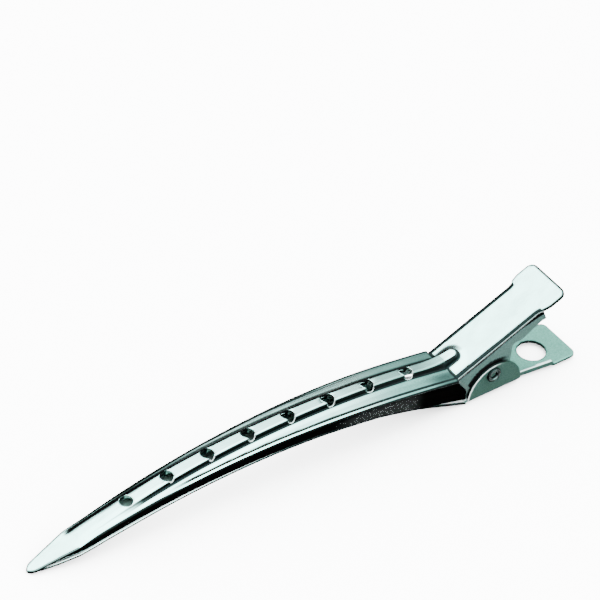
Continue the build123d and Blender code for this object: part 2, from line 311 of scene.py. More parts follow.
def level(
    tree: bpy.types.NodeTree, share: Socket, low: float, high: float, start: float = 0.0,
    end: float = 1.0, kind: str = "LINEAR",
) -> Socket:
    """Go from one value to another while a share goes from start to end, held beyond them.

    Args:
        tree: The node tree.
        share: The share.
        low: Value at the start.
        high: Value at the end.
        start: Share at the start.
        end: Share at the end.
        kind: How the value goes between them.

    Returns:
        The socket that carries the value.
    """
    inputs = {"From Min": start, "From Max": end, "To Min": low, "To Max": high, "Value": share}
    node = add_node(tree, "ShaderNodeMapRange", inputs, interpolation_type=kind)
    return node.outputs["Result"]


def new_material(name: str) -> tuple[bpy.types.Material, bpy.types.NodeTree, bpy.types.Node]:
    """Make a material with nodes, and return it with its tree and its shader."""
    made = bpy.data.materials.new(name)
    made.use_nodes = True
    return made, made.node_tree, made.node_tree.nodes["Principled BSDF"]


def finish_tree(
    tree: bpy.types.NodeTree, made: Socket, end: bpy.types.Node, piece: bpy.types.Object
) -> None:
    """Lead what a geometry node tree makes to its output, in the piece's material.

    Args:
        tree: The node tree.
        made: The geometry.
        end: The tree's output node.
        piece: The piece that it's made for.
    """
    whole = add_node(tree, "GeometryNodeRealizeInstances", {"Geometry": made})
    dress = {"Geometry": whole.outputs["Geometry"], "Material": piece.data.materials[0]}
    feed(end, {"Geometry": add_node(tree, "GeometryNodeSetMaterial", dress).outputs["Geometry"]})


def applied(piece: bpy.types.Object, modifier: bpy.types.Modifier) -> None:
    """Keep what a modifier makes of a piece as the piece's plain mesh.

    Args:
        piece: The piece, whose old mesh is removed.
        modifier: The modifier, which is removed too.
    """
    graph = bpy.context.evaluated_depsgraph_get()
    result = bpy.data.meshes.new_from_object(piece.evaluated_get(graph), depsgraph=graph)
    piece.modifiers.remove(modifier)
    old, piece.data = piece.data, result
    result.name = piece.name
    bpy.data.meshes.remove(old)


def baked(piece: bpy.types.Object, tree: bpy.types.NodeTree, values: dict[str, object]) -> None:
    """Run a geometry node tree on a piece and keep the result as the piece's plain mesh.

    Args:
        piece: The object whose mesh is the tree's geometry.
        tree: The node tree.
        values: Value of each input, by the identifier of its socket.
    """
    modifier = piece.modifiers.new(tree.name, "NODES")
    modifier.node_group = tree
    for identifier, value in values.items():
        modifier[identifier] = value
    applied(piece, modifier)


@dataclass(frozen=True)
class PlatedSteel:
    """Bright plated sheet steel: a mirror, and a dull grained skin where the sheet was worked.

    The vertices' attribute "dull" says how far the skin is from the mirror to the dull state, and
    the painted-light attribute paints light on it: -1 is painted shade, a near-black colour, and
    1 is a painted highlight, a light grey colour with little metal.
    """

    name: str
    mirror: Tint = (0.8, 0.92, 0.89)
    mirror_shade: Tint = (0.7, 0.83, 0.8)
    dull: Tint = (0.24, 0.42, 0.385)
    dull_shade: Tint = (0.15, 0.3, 0.27)
    mirror_metallic: float = 1.0
    dull_metallic: float = 0.955
    # colours of painted shade and of a painted highlight, mixed in by the painted-light attribute
    painted_shade: Tint = (0.006, 0.008, 0.008)
    painted_highlight: Tint = (0.75, 0.8, 0.8)
    highlight_metallic: float = 0.2
    mirror_roughness: float = 0.07
    dull_roughness: float = 0.38
    mirror_spread: tuple[float, float] = (1.0, 1.6)
    dull_spread: tuple[float, float] = (1.2, 0.8)
    cloud_per_mm: float = 0.4
    grain_per_mm: float = 4.0
    grain_range: tuple[float, float] = (0.36, 0.66)
    grain_height: float = 0.012
    ripple_per_mm: float = 0.3
    ripple_height: float = 0.05

    def material(self) -> bpy.types.Material:
        """Build the finish's material.

        Returns:
            The material.
        """
        made, tree, shader = new_material(self.name)
        place = add_node(tree, "ShaderNodeTexCoord", {}).outputs["Object"]

        def noise(per_mm: float, detail: float, roughness: float = 0.6) -> Socket:
            """Noise on object coordinates, by its size, its detail and its roughness."""
            inputs = {"Scale": per_mm / MM, "Detail": detail, "Roughness": roughness}
            return add_node(tree, "ShaderNodeTexNoise", inputs | {"Vector": place}).outputs["Fac"]

        def painted(name: str) -> Socket:
            """Value of an attribute that is painted on the piece."""
            return add_node(tree, "ShaderNodeAttribute", {}, attribute_name=name).outputs["Fac"]

        dull, tone = painted(DULL), painted(PAINTED_LIGHT)
        grain = noise(self.grain_per_mm, 3.0, 0.7)
        contrast = level(tree, grain, 0.0, 1.0, *self.grain_range)
        cloud = noise(self.cloud_per_mm, 4.0)
        # painted light: below 0 mixes in a near-black painted shade, above 0 a light grey painted
        # highlight with little metal
        painted_shade = level(tree, tone, 0.0, 1.0, 0.0, -1.0)
        painted_highlight = level(tree, tone, 0.0, 1.0)
        mirror = mixed(tree, cloud, self.mirror, self.mirror_shade)
        worn = mixed(tree, contrast, self.dull_shade, self.dull)
        shown = mixed(tree, painted_shade, mixed(tree, dull, mirror, worn), self.painted_shade)
        plated = level(tree, dull, self.mirror_metallic, self.dull_metallic)
        metal = {"A": plated, "B": self.highlight_metallic, "Factor": painted_highlight}
        rough = {"Factor": dull}
        for side, roughness, spread in (
            ("A", self.mirror_roughness, self.mirror_spread),
            ("B", self.dull_roughness, self.dull_spread),
        ):
            rough[side] = level(tree, contrast, *(roughness * share for share in spread))
        wave = {"Distance": self.ripple_height * MM, "Height": noise(self.ripple_per_mm, 1.0)}
        wavy = add_node(tree, "ShaderNodeBump", wave).outputs["Normal"]
        pits = {"Distance": self.grain_height * MM, "Height": grain, "Normal": wavy}
        feed(
            shader,
            {
                "Base Color": mixed(tree, painted_highlight, shown, self.painted_highlight),
                "Metallic": add_node(tree, "ShaderNodeMix", metal).outputs["Result"],
                "Roughness": add_node(tree, "ShaderNodeMix", rough).outputs["Result"],
                "Normal": add_node(tree, "ShaderNodeBump", pits).outputs["Normal"],
            },
        )
        return made


@dataclass(frozen=True)
class SpringWire:
    """Drawn spring wire: dark steel with fine lines along the wire."""

    name: str = "spring_wire"
    colour: Tint = (0.34, 0.36, 0.36)
    roughness: float = 0.3
    lines_per_mm: float = 5.0
    line_shares: Rows = (
        # noise, share of the colour's brightness
        (0.35, 0.7),
        (0.7, 1.0),
    )

    def material(self) -> bpy.types.Material:
        """Build the finish's material.

        Returns:
            The material.
        """
        made, tree, shader = new_material(self.name)
        place = add_node(tree, "ShaderNodeTexCoord", {}).outputs["Object"]
        noise = {"Scale": self.lines_per_mm / MM, "Detail": 2.0, "Vector": place}
        lines = add_node(tree, "ShaderNodeTexNoise", noise).outputs["Fac"]
        ramp = add_node(tree, "ShaderNodeValToRGB", {"Fac": lines})
        for stop, (value, share) in zip(ramp.color_ramp.elements, self.line_shares):
            stop.position = value
            stop.color = (*(c * share for c in self.colour), 1.0)
        colour = ramp.outputs["Color"]
        feed(shader, {"Base Color": colour, "Metallic": 1.0, "Roughness": self.roughness})
        return made


@dataclass(frozen=True)
class Outline:
    """The lines that both jaws follow: the blade's side view, its plan and the strip below it."""

    tip_x: float = -47.5
    bend_x: float = 25.8
    bend_z: float = 5.47
    bend_slope: float = -10.6
    hinge_arc_radius: float = 151.0
    hinge_arc_length: float = 42.0
    lower_tip_x: float = -46.4
    sheet: float = 0.4
    closing_gap: float = 0.08
    edge_gap: float = 0.14
    half_width: float = 3.78
    taper_x: float = 9.3
    taper_radius: float = 650.0
    shoulder_x: float = -39.9
    shoulder_half: float = 2.05
    nose_half: float = 0.98
    nose_length: float = 1.15
    nose_start: float = 0.012
    strip_rear_x: float = 28.0
    strip_depth: float = 3.64
    strip_rows: Rows = (
        (0.117, 1.0),
        (0.215, 0.775),
        (0.36, 0.635),
        (0.5, 0.582),
        (0.66, 0.549),
        (0.8, 0.527),
        (0.88, 0.489),
    )

    def arcs(self) -> tuple[float, float, float, float, float, float]:
        """Centre and radius of the hinge arc and of the tip arc: x, z, radius of each.

        Returns:
            The six numbers, of the hinge arc and then of the tip arc.
        """
        slope = radians(self.bend_slope)
        centre_x = self.bend_x + self.hinge_arc_radius * sin(slope)
        centre_z = self.bend_z - self.hinge_arc_radius * cos(slope)
        joint = slope + self.hinge_arc_length / self.hinge_arc_radius
        joint_x = centre_x - self.hinge_arc_radius * sin(joint)
        joint_z = centre_z + self.hinge_arc_radius * cos(joint)
        run = joint_x - self.lower_tip_x
        fall = joint_z - 2 * self.sheet - self.closing_gap
        radius = (run**2 + fall**2) / (2 * (fall * cos(joint) - run * sin(joint)))
        return (
            centre_x, centre_z, self.hinge_arc_radius,
            joint_x + radius * sin(joint), joint_z - radius * cos(joint), radius,
        )

    def land(self, x: float) -> tuple[float, float]:
        """Height of the blade's land at x, and its slope in radians.

        Args:
            x: The place.

        Returns:
            The land's z and its slope.
        """
        hinge_x, hinge_z, hinge_r, tip_x, tip_z, tip_r = self.arcs()
        joint = radians(self.bend_slope) + self.hinge_arc_length / self.hinge_arc_radius
        if x > hinge_x - hinge_r * sin(joint):
            slope = asin((hinge_x - x) / hinge_r)
            return hinge_z + hinge_r * cos(slope), slope
        slope = asin((tip_x - x) / tip_r)
        return tip_z + tip_r * cos(slope), slope

    def length_to_x(self, length: float) -> float:
        """X of the point at a length along the land from the bend.

        Args:
            length: A length along the land from the bend.

        Returns:
            The point's x.
        """
        hinge_x, _, hinge_r, tip_x, _, tip_r = self.arcs()
        if length < self.hinge_arc_length:
            return hinge_x - hinge_r * sin(radians(self.bend_slope) + length / hinge_r)
        joint = radians(self.bend_slope) + self.hinge_arc_length / self.hinge_arc_radius
        return tip_x - tip_r * sin(joint + (length - self.hinge_arc_length) / tip_r)

    def nose(self, tip: float, steps: int) -> list[float]:
        """Places of the sections over a blade's round nose, which ends at tip.

        Args:
            tip: Where the nose ends.
            steps: How many sections there are.

        Returns:
            The places, in order.
        """
        places = [tip + self.nose_length * (1 - cos(pi / 2 * i / steps)) for i in range(steps)]
        return [tip + self.nose_start] + places[1:]

    def half_at(self, x: float, nose_x: float) -> float:
        """Half of the blade's width at x, for a blade whose nose ends at nose_x.

        Args:
            x: The place.
            nose_x: Where the nose ends.

        Returns:
            Half of the width.
        """
        narrowing = atan2(self.half_width - self.shoulder_half, self.taper_x - self.shoulder_x)
        reach = self.taper_radius * narrowing / 2
        if x > self.taper_x + reach:
            width = self.half_width
        elif x > self.taper_x - reach:
            width = self.half_width - (self.taper_x + reach - x) ** 2 / (2 * self.taper_radius)
        elif x > self.shoulder_x:
            width = self.shoulder_half + (x - self.shoulder_x) * narrowing
        else:
            share = (self.shoulder_x - x) / (self.shoulder_x - nose_x - self.nose_length)
            width = self.shoulder_half + (self.nose_half - self.shoulder_half) * share
        if x < nose_x + self.nose_length:
            left = min(1.0, max(0.0, (nose_x + self.nose_length - x) / self.nose_length))
            width *= sqrt(1.0 - left**2)
        return width

    def strip(self, x: float) -> float:
        """Height of the lower strip's underside at x.

        Args:
            x: The place.

        Returns:
            The underside's z.
        """
        length = self.strip_rear_x - self.lower_tip_x
        share = (self.strip_rear_x - x) / length
        rows = [
            (part, self.land(self.strip_rear_x - part * length)[0] - deep * self.strip_depth)
            for part, deep in self.strip_rows
        ]
        (first, first_z), (last, last_z) = rows[0], rows[-1]
        if share <= first:
            return first_z * max(0.0, share) / first
        if share >= last:
            return last_z * max(0.0, 1.0 - share) / (1.0 - last)
        return self.land(x)[0] - reading(self.strip_rows, share) * self.strip_depth


@dataclass(frozen=True)
class RaisedRib:
    """Section of a rib pressed up from a sheet, by the distance outside its wall's middle."""

    wall: Rows = (
        # distance, share of the rib's height
        (-0.3, 1.0),
        (-0.22, 0.99),
        (-0.14, 0.96),
        (-0.08, 0.905),
        (-0.035, 0.82),
        (-0.01, 0.7),
        (0.015, 0.56),
        (0.045, 0.42),
        (0.085, 0.31),
        (0.13, 0.235),
    )
    top_shares: tuple[float, ...] = (0.0, 0.3, 0.6, 0.85)
    foot: Rows = (
        # distance past the wall, share of the rib's height
        (0.07, 0.212),
        (0.16, 0.193),
        (0.27, 0.17),
        (0.4, 0.14),
        (0.55, 0.106),
        (0.72, 0.067),
        (0.86, 0.036),
        (0.98, 0.015),
        (1.1, 0.005),
        (1.25, 0.0),
    )

    def table(self, room: float, draw: float) -> tuple[list[float], list[float]]:
        """Distances and shares of the height, with the foot pressed into the room beside it.

        Args:
            room: Width there is from the wall's middle to the sheet's edge.
            draw: How many times wider than the plain one the wall is.

        Returns:
            The distances and the shares of the height.
        """
        wall_end = self.wall[-1][0] * draw
        squeeze = min(1.0, max(0.05, room - wall_end) / self.foot[-1][0])
        outs = [out * draw for out, _ in self.wall]
        outs += [wall_end + out * squeeze for out, _ in self.foot]
        return outs, [share for _, share in self.wall + self.foot]

    def rise(self, distance: float, room: float, draw: float = 1.0) -> float:
        """Share of the rib's height at a distance outside the wall's middle."""
        return float(np.interp(distance, *self.table(room, draw)))

    def places(self, half: float, room: float, draw: float = 1.0) -> list[float]:
        """Distances from the middle line at which the section is drawn, for a half width."""
        top = half + self.wall[0][0] * draw
        outs = self.table(room, draw)[0]
        return [top * share for share in self.top_shares] + [half + out for out in outs]


def under_skin(top: Half, sheet: float) -> Half:
    """Rows of (y, offset) a sheet's thickness under a skin, never folding back over themselves.

    Args:
        top: Rows of (y, offset, drop) of the skin.
        sheet: The thickness.

    Returns:
        The rows under it, as many as there are of the skin.
    """
    ceiling = max(offset for _, offset, _ in top) - sheet
    under: Half = []
    for i, (y, offset, drop) in enumerate(top):
        before, after = top[max(0, i - 1)], top[min(len(top) - 1, i + 1)]
        slope = (after[1] - before[1]) / max(1e-6, after[0] - before[0])
        length = sqrt(1.0 + slope**2)
        inner_y = max(y + sheet * slope / length, under[-1][0] + 0.001 if under else 0.0)
        under.append((inner_y, min(ceiling, offset - sheet / length), drop))
    return under


@dataclass(frozen=True)
class Rim:
    """How a sheet's long edge is bent down, and how deep the score line along the bend is."""

    depth: float
    radius: float
    rows: int
    score: float = 0.0
    camber: float = 0.0


@dataclass(frozen=True)
class LeverLook:
    """Where the lever's skin is dull, and where painted shade and a painted highlight lie on it, in
    mm unless said otherwise.
    """

    # painted shade: a dark line round the tab's outline, and half dark on its underside
    tab_rim: Fade = Fade(0.36, -0.12)
    tab_under: float = 0.3
    tab_under_shade: float = -0.5
    inside: Fade = Fade(-0.02, 0.12)
    inside_inset: float = 0.2
    # painted shade in a band on the flange under the lever's top bend, and how fast painted shade
    # fades
    wedge: float = 0.1
    wedge_growth: float = 0.45
    wedge_from: Fade = Fade(11.0, 3.5)
    shade_fade: float = 0.1
    # painted shadow in an arc on the flange round the lower ear's rim
    ear_shadow_centre: tuple[float, float] = (32.7, 0.82)
    ear_shadow_ring: Fade = Fade(5.35, -0.16)
    ear_shadow_first: Fade = Fade(3.2, -0.3)
    ear_shadow_last: Fade = Fade(1.0, 0.4)
    # painted dark lines along the lever's far and near edges, and a painted highlight line on the
    # near bend
    far_edge_shade: float = 0.34
    near_edge_shade: float = 0.12
    near_growth: float = 0.16
    near_length: float = 9.0
    near_fade: float = 0.08
    near_highlight_turns: tuple[float, float] = (0.95, 1.3)
    near_highlight: float = 0.1
    # painted shade beside the bead's foot, and in the crease at the bend
    foot_from: Fade = Fade(-0.2, 0.12)
    foot_reach: float = 0.52
    foot_growth: float = 0.4
    foot_growth_length: float = 0.5
    foot_fade: float = 0.14
    crease: Fade = Fade(0.4, -0.14)
    crease_out: Fade = Fade(0.1, 0.2)


@dataclass(frozen=True)
class BladeLook:
    """Where the blade's skin is dull, and where painted shade and painted light lie on it, in mm
    unless said otherwise.
    """

    inside_inset: float = 0.25
    inside_dull: float = 0.8
    inside_from: Fade = Fade(-0.05, 0.1)
    # faint painted light on the flange's outer face near the hinge
    faint_lightening: float = 0.008
    lightening_from: Fade = Fade(3.0, 5.0)
    lightening_to: Fade = Fade(19.8, -3.0)
    lightening_under: Fade = Fade(0.1, 0.4)
    worked: Fade = Fade(3.0, 15.0)
    worked_bead: float = 0.8
    # painted shade growing towards the hinge, more on the lands and on the near side
    shade: float = 0.2
    shade_from: Fade = Fade(6.0, 8.0)
    land_shade: float = 0.35
    land_shade_from: Fade = Fade(17.0, 8.0)
    near_shade: float = 0.25
    near_shade_from: Fade = Fade(20.5, 3.0)
    near_shade_out: Fade = Fade(0.6, 0.4)
    bead_start: float = -39.3
    # painted dark line along the far edge
    far_edge_shade: float = 0.14
    far_growth: Fade = Fade(-34.0, 6.0)
    far_fade: float = 0.08
    # painted dark line round the tip's outline
    tip_end: float = -40.0
    tip_rim: Fade = Fade(0.32, -0.08)
    tip_reach: float = 0.36
    tip_shade: float = -0.9
    # painted shade over the near bend and along the score line
    bend_turn: float = 0.1
    bend_turn_growth: float = 0.42
    bend_turn_from: Fade = Fade(-28.0, 8.0)
    bend_turn_fade: float = 0.2
    score_start: float = -28.0
    score_from: Fade = Fade(-26.0, 5.0)
    score_fade: float = 0.04
    score_margin: float = 0.01
    round_end: float = -38.0
    # painted shade beside the bead's foot, reaching further behind the bead
    far_foot: Fade = Fade(-0.26, 0.1)
    far_foot_from: Fade = Fade(-39.9, 0.6)
    far_reach: float = 0.45
    far_reach_mid: float = 0.25
    far_reach_mid_from: Fade = Fade(-34.0, 8.0)
    far_reach_rear: float = 0.85
    far_fade_front: float = 0.2
    far_fade_rear: float = 0.45
    far_rear_from: Fade = Fade(2.0, 12.0)
    near_foot: Fade = Fade(-0.12, 0.1)
    near_foot_to: Fade = Fade(0.52, -0.1)
    near_foot_from: Fade = Fade(-33.5, 5.0)
    # painted shade in the crease at the bend to the lever
    crease_length: float = 0.4
    crease_fade: float = 0.14
    crease_out: Fade = Fade(0.1, 0.2)


@dataclass
class UpperJaw:
    """The upper blade with its bead and holes, and the thumb lever with its ears."""

    outline: Outline = field(default_factory=Outline)
    rib: RaisedRib = field(default_factory=RaisedRib)
    lever_look: LeverLook = LeverLook()
    blade_look: BladeLook = BladeLook()
    nose_steps: int = 10
    blade_rows: int = 8
    lever_rows: int = 26
    blade_steps: Rows = (
        # up to x, step between sections
        (-41.0, 0.4),
        (-35.0, 0.2),
        (19.0, 0.9),
        (23.4, 0.4),
        (25.8, 0.15),
    )
    lever_steps: Rows = (
        # up to a length along the lever, step between sections
        (1.7, 0.12),
        (2.8, 0.035),
        (10.4, 0.15),
        (14.4, 0.5),
        (15.5, 0.15),
    )
    least_half: float = 0.12
    wall_share: float = 0.45
    bead_share: float = 0.62
    bead_clearance: float = 0.1
    edge_share: float = 0.3
    flange_from: Fade = Fade(-44.5, 6.5)
    edge_from: Fade = Fade(-41.0, 5.0)
    score_from: Fade = Fade(-28.0, 8.0)
    land_rows: tuple[float, ...] = (0.33, 0.66, 1.0)
    score_rows: Rows = (
        # share of the score line's width, share of its depth
        (0.08, 0.0),
        (0.16, 0.5),
        (0.5, 1.0),
        (0.84, 0.5),
        (0.93, 0.0),
    )
    bend_steps: int = 9
    edge_radius: float = 0.42
    tip_edge_radius: float = 0.1
    rim_round: float = 0.06
    score_depth: float = 0.035
    score_width: float = 0.48
    camber: float = 0.075
    least_camber: float = 0.001
    camber_fade: float = 6.0
    draw_rows: Rows = (
        # x, how many times wider than the plain one the bead's wall is
        (-33.0, 2.6),
        (-28.0, 1.7),
        (-21.0, 1.0),
    )
    rear_shift: float = 1.75
    rear_shift_length: float = 6.0
    bead_half_rows: Rows = (
        # x, half of the bead's width
        (-38.0, 1.2),
        (-24.0, 1.06),
        (-8.0, 0.95),
        (8.0, 0.86),
        (18.0, 0.8),
        (25.8, 0.82),
    )
    bead_rows: Rows = (
        # x, height of the bead
        (-40.3, 0.0),
        (-39.7, 0.1),
        (-39.0, 0.24),
        (-38.0, 0.34),
        (-33.0, 0.46),
        (-28.0, 0.64),
        (-22.0, 0.82),
        (-14.0, 0.9),
        (-5.0, 0.93),
        (25.8, 0.93),
    )
    bead_lever_end: float = 2.6
    crest_reach: float = 4.6
    crest_radius: float = 15.5
    lean_reach: float = 2.2
    lever_back: float = 0.4
    lever_lean: float = 0.35
    lever_angle: float = 24.7
    lever_length: float = 19.55
    lever_half: float = 3.32
    lever_tab_half: float = 3.82
    lever_edge_radius: float = 0.5
    flare_start: float = 14.4
    flare_end: float = 16.9
    lever_corner: float = 1.1
    flange_end: float = 15.5
    flange_depth_rear: float = 2.1
    flange_depth_front: float = 2.65
    flange_knee: float = 11.0
    ear_radius: float = 3.3
    ear_steps: int = 24
    ear_toe: Rows = ((27.55, 1.15), (24.0, 1.6))
    ear_corner: float = 0.7
    ear_drop: float = 0.1
    ear_corner_steps: int = 6
    pin_x: float = 32.05
    pin_z: float = 3.95
    hole_radius: float = 1.05
    hole_rim: float = 0.03
    burr: Rows = (
        # distance from the hole's axis, height over the skin
        (1.03, -0.25),
        (1.04, 0.0),
        (1.055, 0.03),
        (1.08, 0.04),
        (1.11, 0.025),
        (1.125, -0.02),
        (1.1, -0.25),
    )
    burr_segments: int = 56
    # a painted highlight on the side of each hole's rim that faces one way, and painted shade in
    # the bore
    burr_light: float = -0.9
    burr_inside: float = 1.045
    burr_bore: Paint = (0.4, -0.95)
    burr_dull: float = 0.1
    burr_highlight: float = 0.35
    burr_facing: Fade = Fade(0.35, 0.4)
    hole_pitch: float = 7.1
    hole_first: float = 7.1
    hole_count: int = 8
    pin_hole_radius: float = 0.98
    pin_punch_length: float = 12.0
    guide_points: int = 57
    punch_segments: int = 64
    punch_reach: tuple[float, float] = (-1.6, 0.6)

    def bend_normal(self) -> float:
        """Angle from +Z of the line that halves the bend between blade and lever, in radians."""
        return radians(self.outline.bend_slope + self.lever_angle) / 2

    def bead_height(self, x: float) -> float:
        """Height of the bead over the blade's land at x."""
        return reading(self.bead_rows, x) + self.crest_rise(self.outline.bend_x - x)

    def crest_rise(self, away: float) -> float:
        """How much the bead's crest, bridging the bend, is higher at a distance from the bend."""
        return max(0.0, self.crest_reach - away) ** 2 / (2 * self.crest_radius)

    def edge_radius_at(self, x: float) -> float:
        """Radius of the blade's long bends at x."""
        growth = self.edge_radius - self.tip_edge_radius
        return self.tip_edge_radius + growth * self.edge_from.at(x)

    def lever_half_at(self, length: float) -> float:
        """Half of the lever's width at a length along it, but for its rounded corners."""
        flare = Fade(self.flare_start, self.flare_end - self.flare_start)
        return self.lever_half + (self.lever_tab_half - self.lever_half) * flare.at(length)

    def hole_centres(self) -> list[float]:
        """X of each hole in the bead, from the hinge to the tip."""
        lengths = [self.hole_first + self.hole_pitch * i for i in range(self.hole_count)]
        return [self.outline.length_to_x(length) for length in lengths]

    def across(
        self, half: float, bead: Sequence[tuple[float, float]], edge_form: Rim
    ) -> tuple[Half, Half]:
        """Half of a section across the sheet, from the middle line out to the flange's rim.

        Args:
            half: Half of the sheet's width.
            bead: Rows of (y, height) over the bead and its feet.
            edge_form: How the long edge is bent down.

        Returns:
            Outer and inner rows of (y, offset square to the land, drop under that).
        """
        sheet = self.outline.sheet
        radius, camber = edge_form.radius, edge_form.camber
        wall = min(sheet, self.wall_share * half)
        outer: Half = [(y, rise, 0.0) for y, rise in bead]
        start, edge = bead[-1][0], half - radius
        score_start = max(start + 0.5 * (edge - start), edge - self.score_width)
        outer += [(start + (score_start - start) * share, 0.0, 0.0) for share in self.land_rows]
        for share, sunk in self.score_rows:
            y = score_start + (edge - score_start) * share
            outer.append((y, -edge_form.score * sunk, 0.0))
        outer = [(y, rise - camber * max(0.0, y - start), drop) for y, rise, drop in outer]
        fall = camber * max(0.0, edge - start)
        inner = under_skin([(y, max(-fall, rise), drop) for y, rise, drop in outer], sheet)
        corner = max(0.04, radius - sheet)
        limit = half - wall - corner
        over = max(1.0, inner[-1][0] / limit)
        inner = [(y / over, offset, drop) for y, offset, drop in inner]
        for i in range(self.bend_steps + 1):
            turn = pi / 2 * i / self.bend_steps
            outer.append((edge + radius * sin(turn), -fall - radius * (1 - cos(turn)), 0.0))
            lower = -fall - sheet - corner * (1 - cos(turn))
            inner.append((limit + corner * sin(turn), lower, 0.0))
        full = max(edge_form.depth - radius - fall, 0.03)
        full_in = max(edge_form.depth - sheet - corner - fall, 0.005)
        low, low_in = -fall - radius, -fall - sheet - corner
        rim = min(self.rim_round, full / 3)
        for i in range(1, edge_form.rows):
            share = i / edge_form.rows
            outer.append((half, low, (full - rim) * share))
            inner.append((half - wall, low_in, full_in * 0.98 * share))
        outer += [(half, low, full - rim), (half - rim * 0.3, low, full - rim * 0.3)]
        outer.append((half - rim, low, full))
        inner.append((half - wall, low_in, full_in * 0.99))
        inner.append((half - wall + rim * 0.3, low_in, full_in))
        inner.append((half - wall + rim, low_in, full_in))
        return outer, inner

    def blade_section(self, x: float) -> Section:
        """Section across the blade at x.

        Args:
            x: Place along the blade.

        Returns:
            Outer and inner rows of points.
        """
        line = self.outline
        z, slope = line.land(x)
        half = max(self.least_half, line.half_at(x, line.tip_x))
        bead_half = min(reading(self.bead_half_rows, x), self.bead_share * half)
        height = self.bead_height(x)
        full = z - line.strip(min(x, line.bend_x)) - line.sheet - line.edge_gap
        depth = line.sheet + max(0.0, full - line.sheet) * self.flange_from.at(x)
        radius = min(self.edge_radius_at(x), half * self.edge_share)
        room = half - radius - bead_half - self.bead_clearance
        draw = reading(self.draw_rows, x)
        bead = [
            (y, height * self.rib.rise(y - bead_half, room, draw))
            for y in self.rib.places(bead_half, room, draw)
        ]
        score = self.score_depth * self.score_from.at(x)
        sloped = self.camber * ease((line.bend_x - x) / self.camber_fade) * self.edge_from.at(x)
        rim = Rim(depth, radius, self.blade_rows, score, self.least_camber + sloped)
        outer, inner = self.across(half, bead, rim)
        raised = slope + (self.bend_normal() - slope) * ease(
            1.0 - (line.bend_x - x) / self.lean_reach
        )
        shift = self.rear_shift * ease(
            (x - line.bend_x + self.rear_shift_length) / self.rear_shift_length
        )

        def placed(rows: Half) -> list[Point]:
            """Points of a row: square to the land, then straight down, further back below.

            Args:
                rows: Rows of (y, offset square to the land, drop under that).

            Returns:
                The points.
            """
            points = []
            for y, offset, drop in rows:
                lean = raised if offset > 0 else slope
                back = shift * min(1.0, 2.0 * drop / depth)
                points.append(
                    (x - offset * sin(lean) + back, y, z + offset * cos(lean) - drop)
                )
            return points

        return placed(both_sides(outer)), placed(both_sides(inner))

    def ear_line(self) -> list[tuple[float, float]]:
        """Side view of the flange under the lever, from its rear end round the ear: (x, z).

        Returns:
            The line's points, in order.
        """
        rear = self.on_lever(self.flange_end, self.flange_depth_rear)
        knee = self.on_lever(self.flange_knee, self.flange_depth_front)
        edge_x = self.pin_x + self.ear_radius
        line = [rear, knee]
        corner = (edge_x, knee[1] - self.ear_drop)
        start = (edge_x + self.ear_corner, corner[1] + self.ear_drop)
        end = (edge_x, corner[1] - self.ear_corner)
        for i in range(self.ear_corner_steps + 1):
            share = i / self.ear_corner_steps
            a, b, c = (1 - share) ** 2, 2 * share * (1 - share), share**2
            line.append(
                (
                    a * start[0] + b * corner[0] + c * end[0],
                    a * start[1] + b * corner[1] + c * end[1],
                )
            )
        for i in range(self.ear_steps + 1):
            turn = -pi / 2 * i / self.ear_steps
            line.append(
                (self.pin_x + self.ear_radius * cos(turn), self.pin_z + self.ear_radius * sin(turn))
            )
        return line + list(self.ear_toe)

    def on_lever(self, length: float, depth: float) -> tuple[float, float]:
        """Point (x, z) at a length along the lever and a depth square under its top.

        Args:
            length: The length.
            depth: The depth.

        Returns:
            The point's x and z.
        """
        angle = radians(self.lever_angle)
        return (
            self.outline.bend_x + length * cos(angle) + depth * sin(angle),
            self.outline.bend_z + length * sin(angle) - depth * cos(angle),
        )

    def flange_depth(self, length: float) -> float:
        """Depth of the flange, square to the lever, at a length along it.

        Args:
            length: The length.

        Returns:
            The depth, at least the sheet's own.
        """
        if length >= self.flange_end:
            return self.outline.sheet
        angle = radians(self.lever_angle)
        along = (cos(angle), sin(angle))
        down = (sin(angle), -cos(angle))
        rows = []
        for x, z in self.ear_line():
            dx, dz = x - self.outline.bend_x, z - self.outline.bend_z
            rows.append((dx * along[0] + dz * along[1], dx * down[0] + dz * down[1]))
        deepest = 0.0
        for (u0, v0), (u1, v1) in zip(rows, rows[1:]):
            low, high = min(u0, u1), max(u0, u1)
            if low - 1e-9 <= length <= high + 1e-9 and high - low > 1e-9:
                deepest = max(deepest, v0 + (v1 - v0) * (length - u0) / (u1 - u0))
        return max(deepest, self.outline.sheet)

    def lever_bead(self, length: float, room: float) -> list[tuple[float, float]]:
        """Rows of (y, height) over the bead's round end on the lever, along its own contours.

        Args:
            length: Length along the lever.
            room: Room beside the bead for its foot.

        Returns:
            The rows.
        """
        bead_half = self.bead_half_rows[-1][1]
        ahead = max(0.0, length - (self.bead_lever_end - bead_half))
        height = self.bead_rows[-1][1] + self.crest_rise(length)
        rows: list[tuple[float, float]] = []
        for i, y in enumerate(self.rib.places(bead_half, room)):
            y = max(0.004 * i, sqrt(max(0.0, y**2 - ahead**2)))
            out = hypot(ahead, y) - bead_half
            rows.append((y, height * self.rib.rise(out, room)))
        return rows

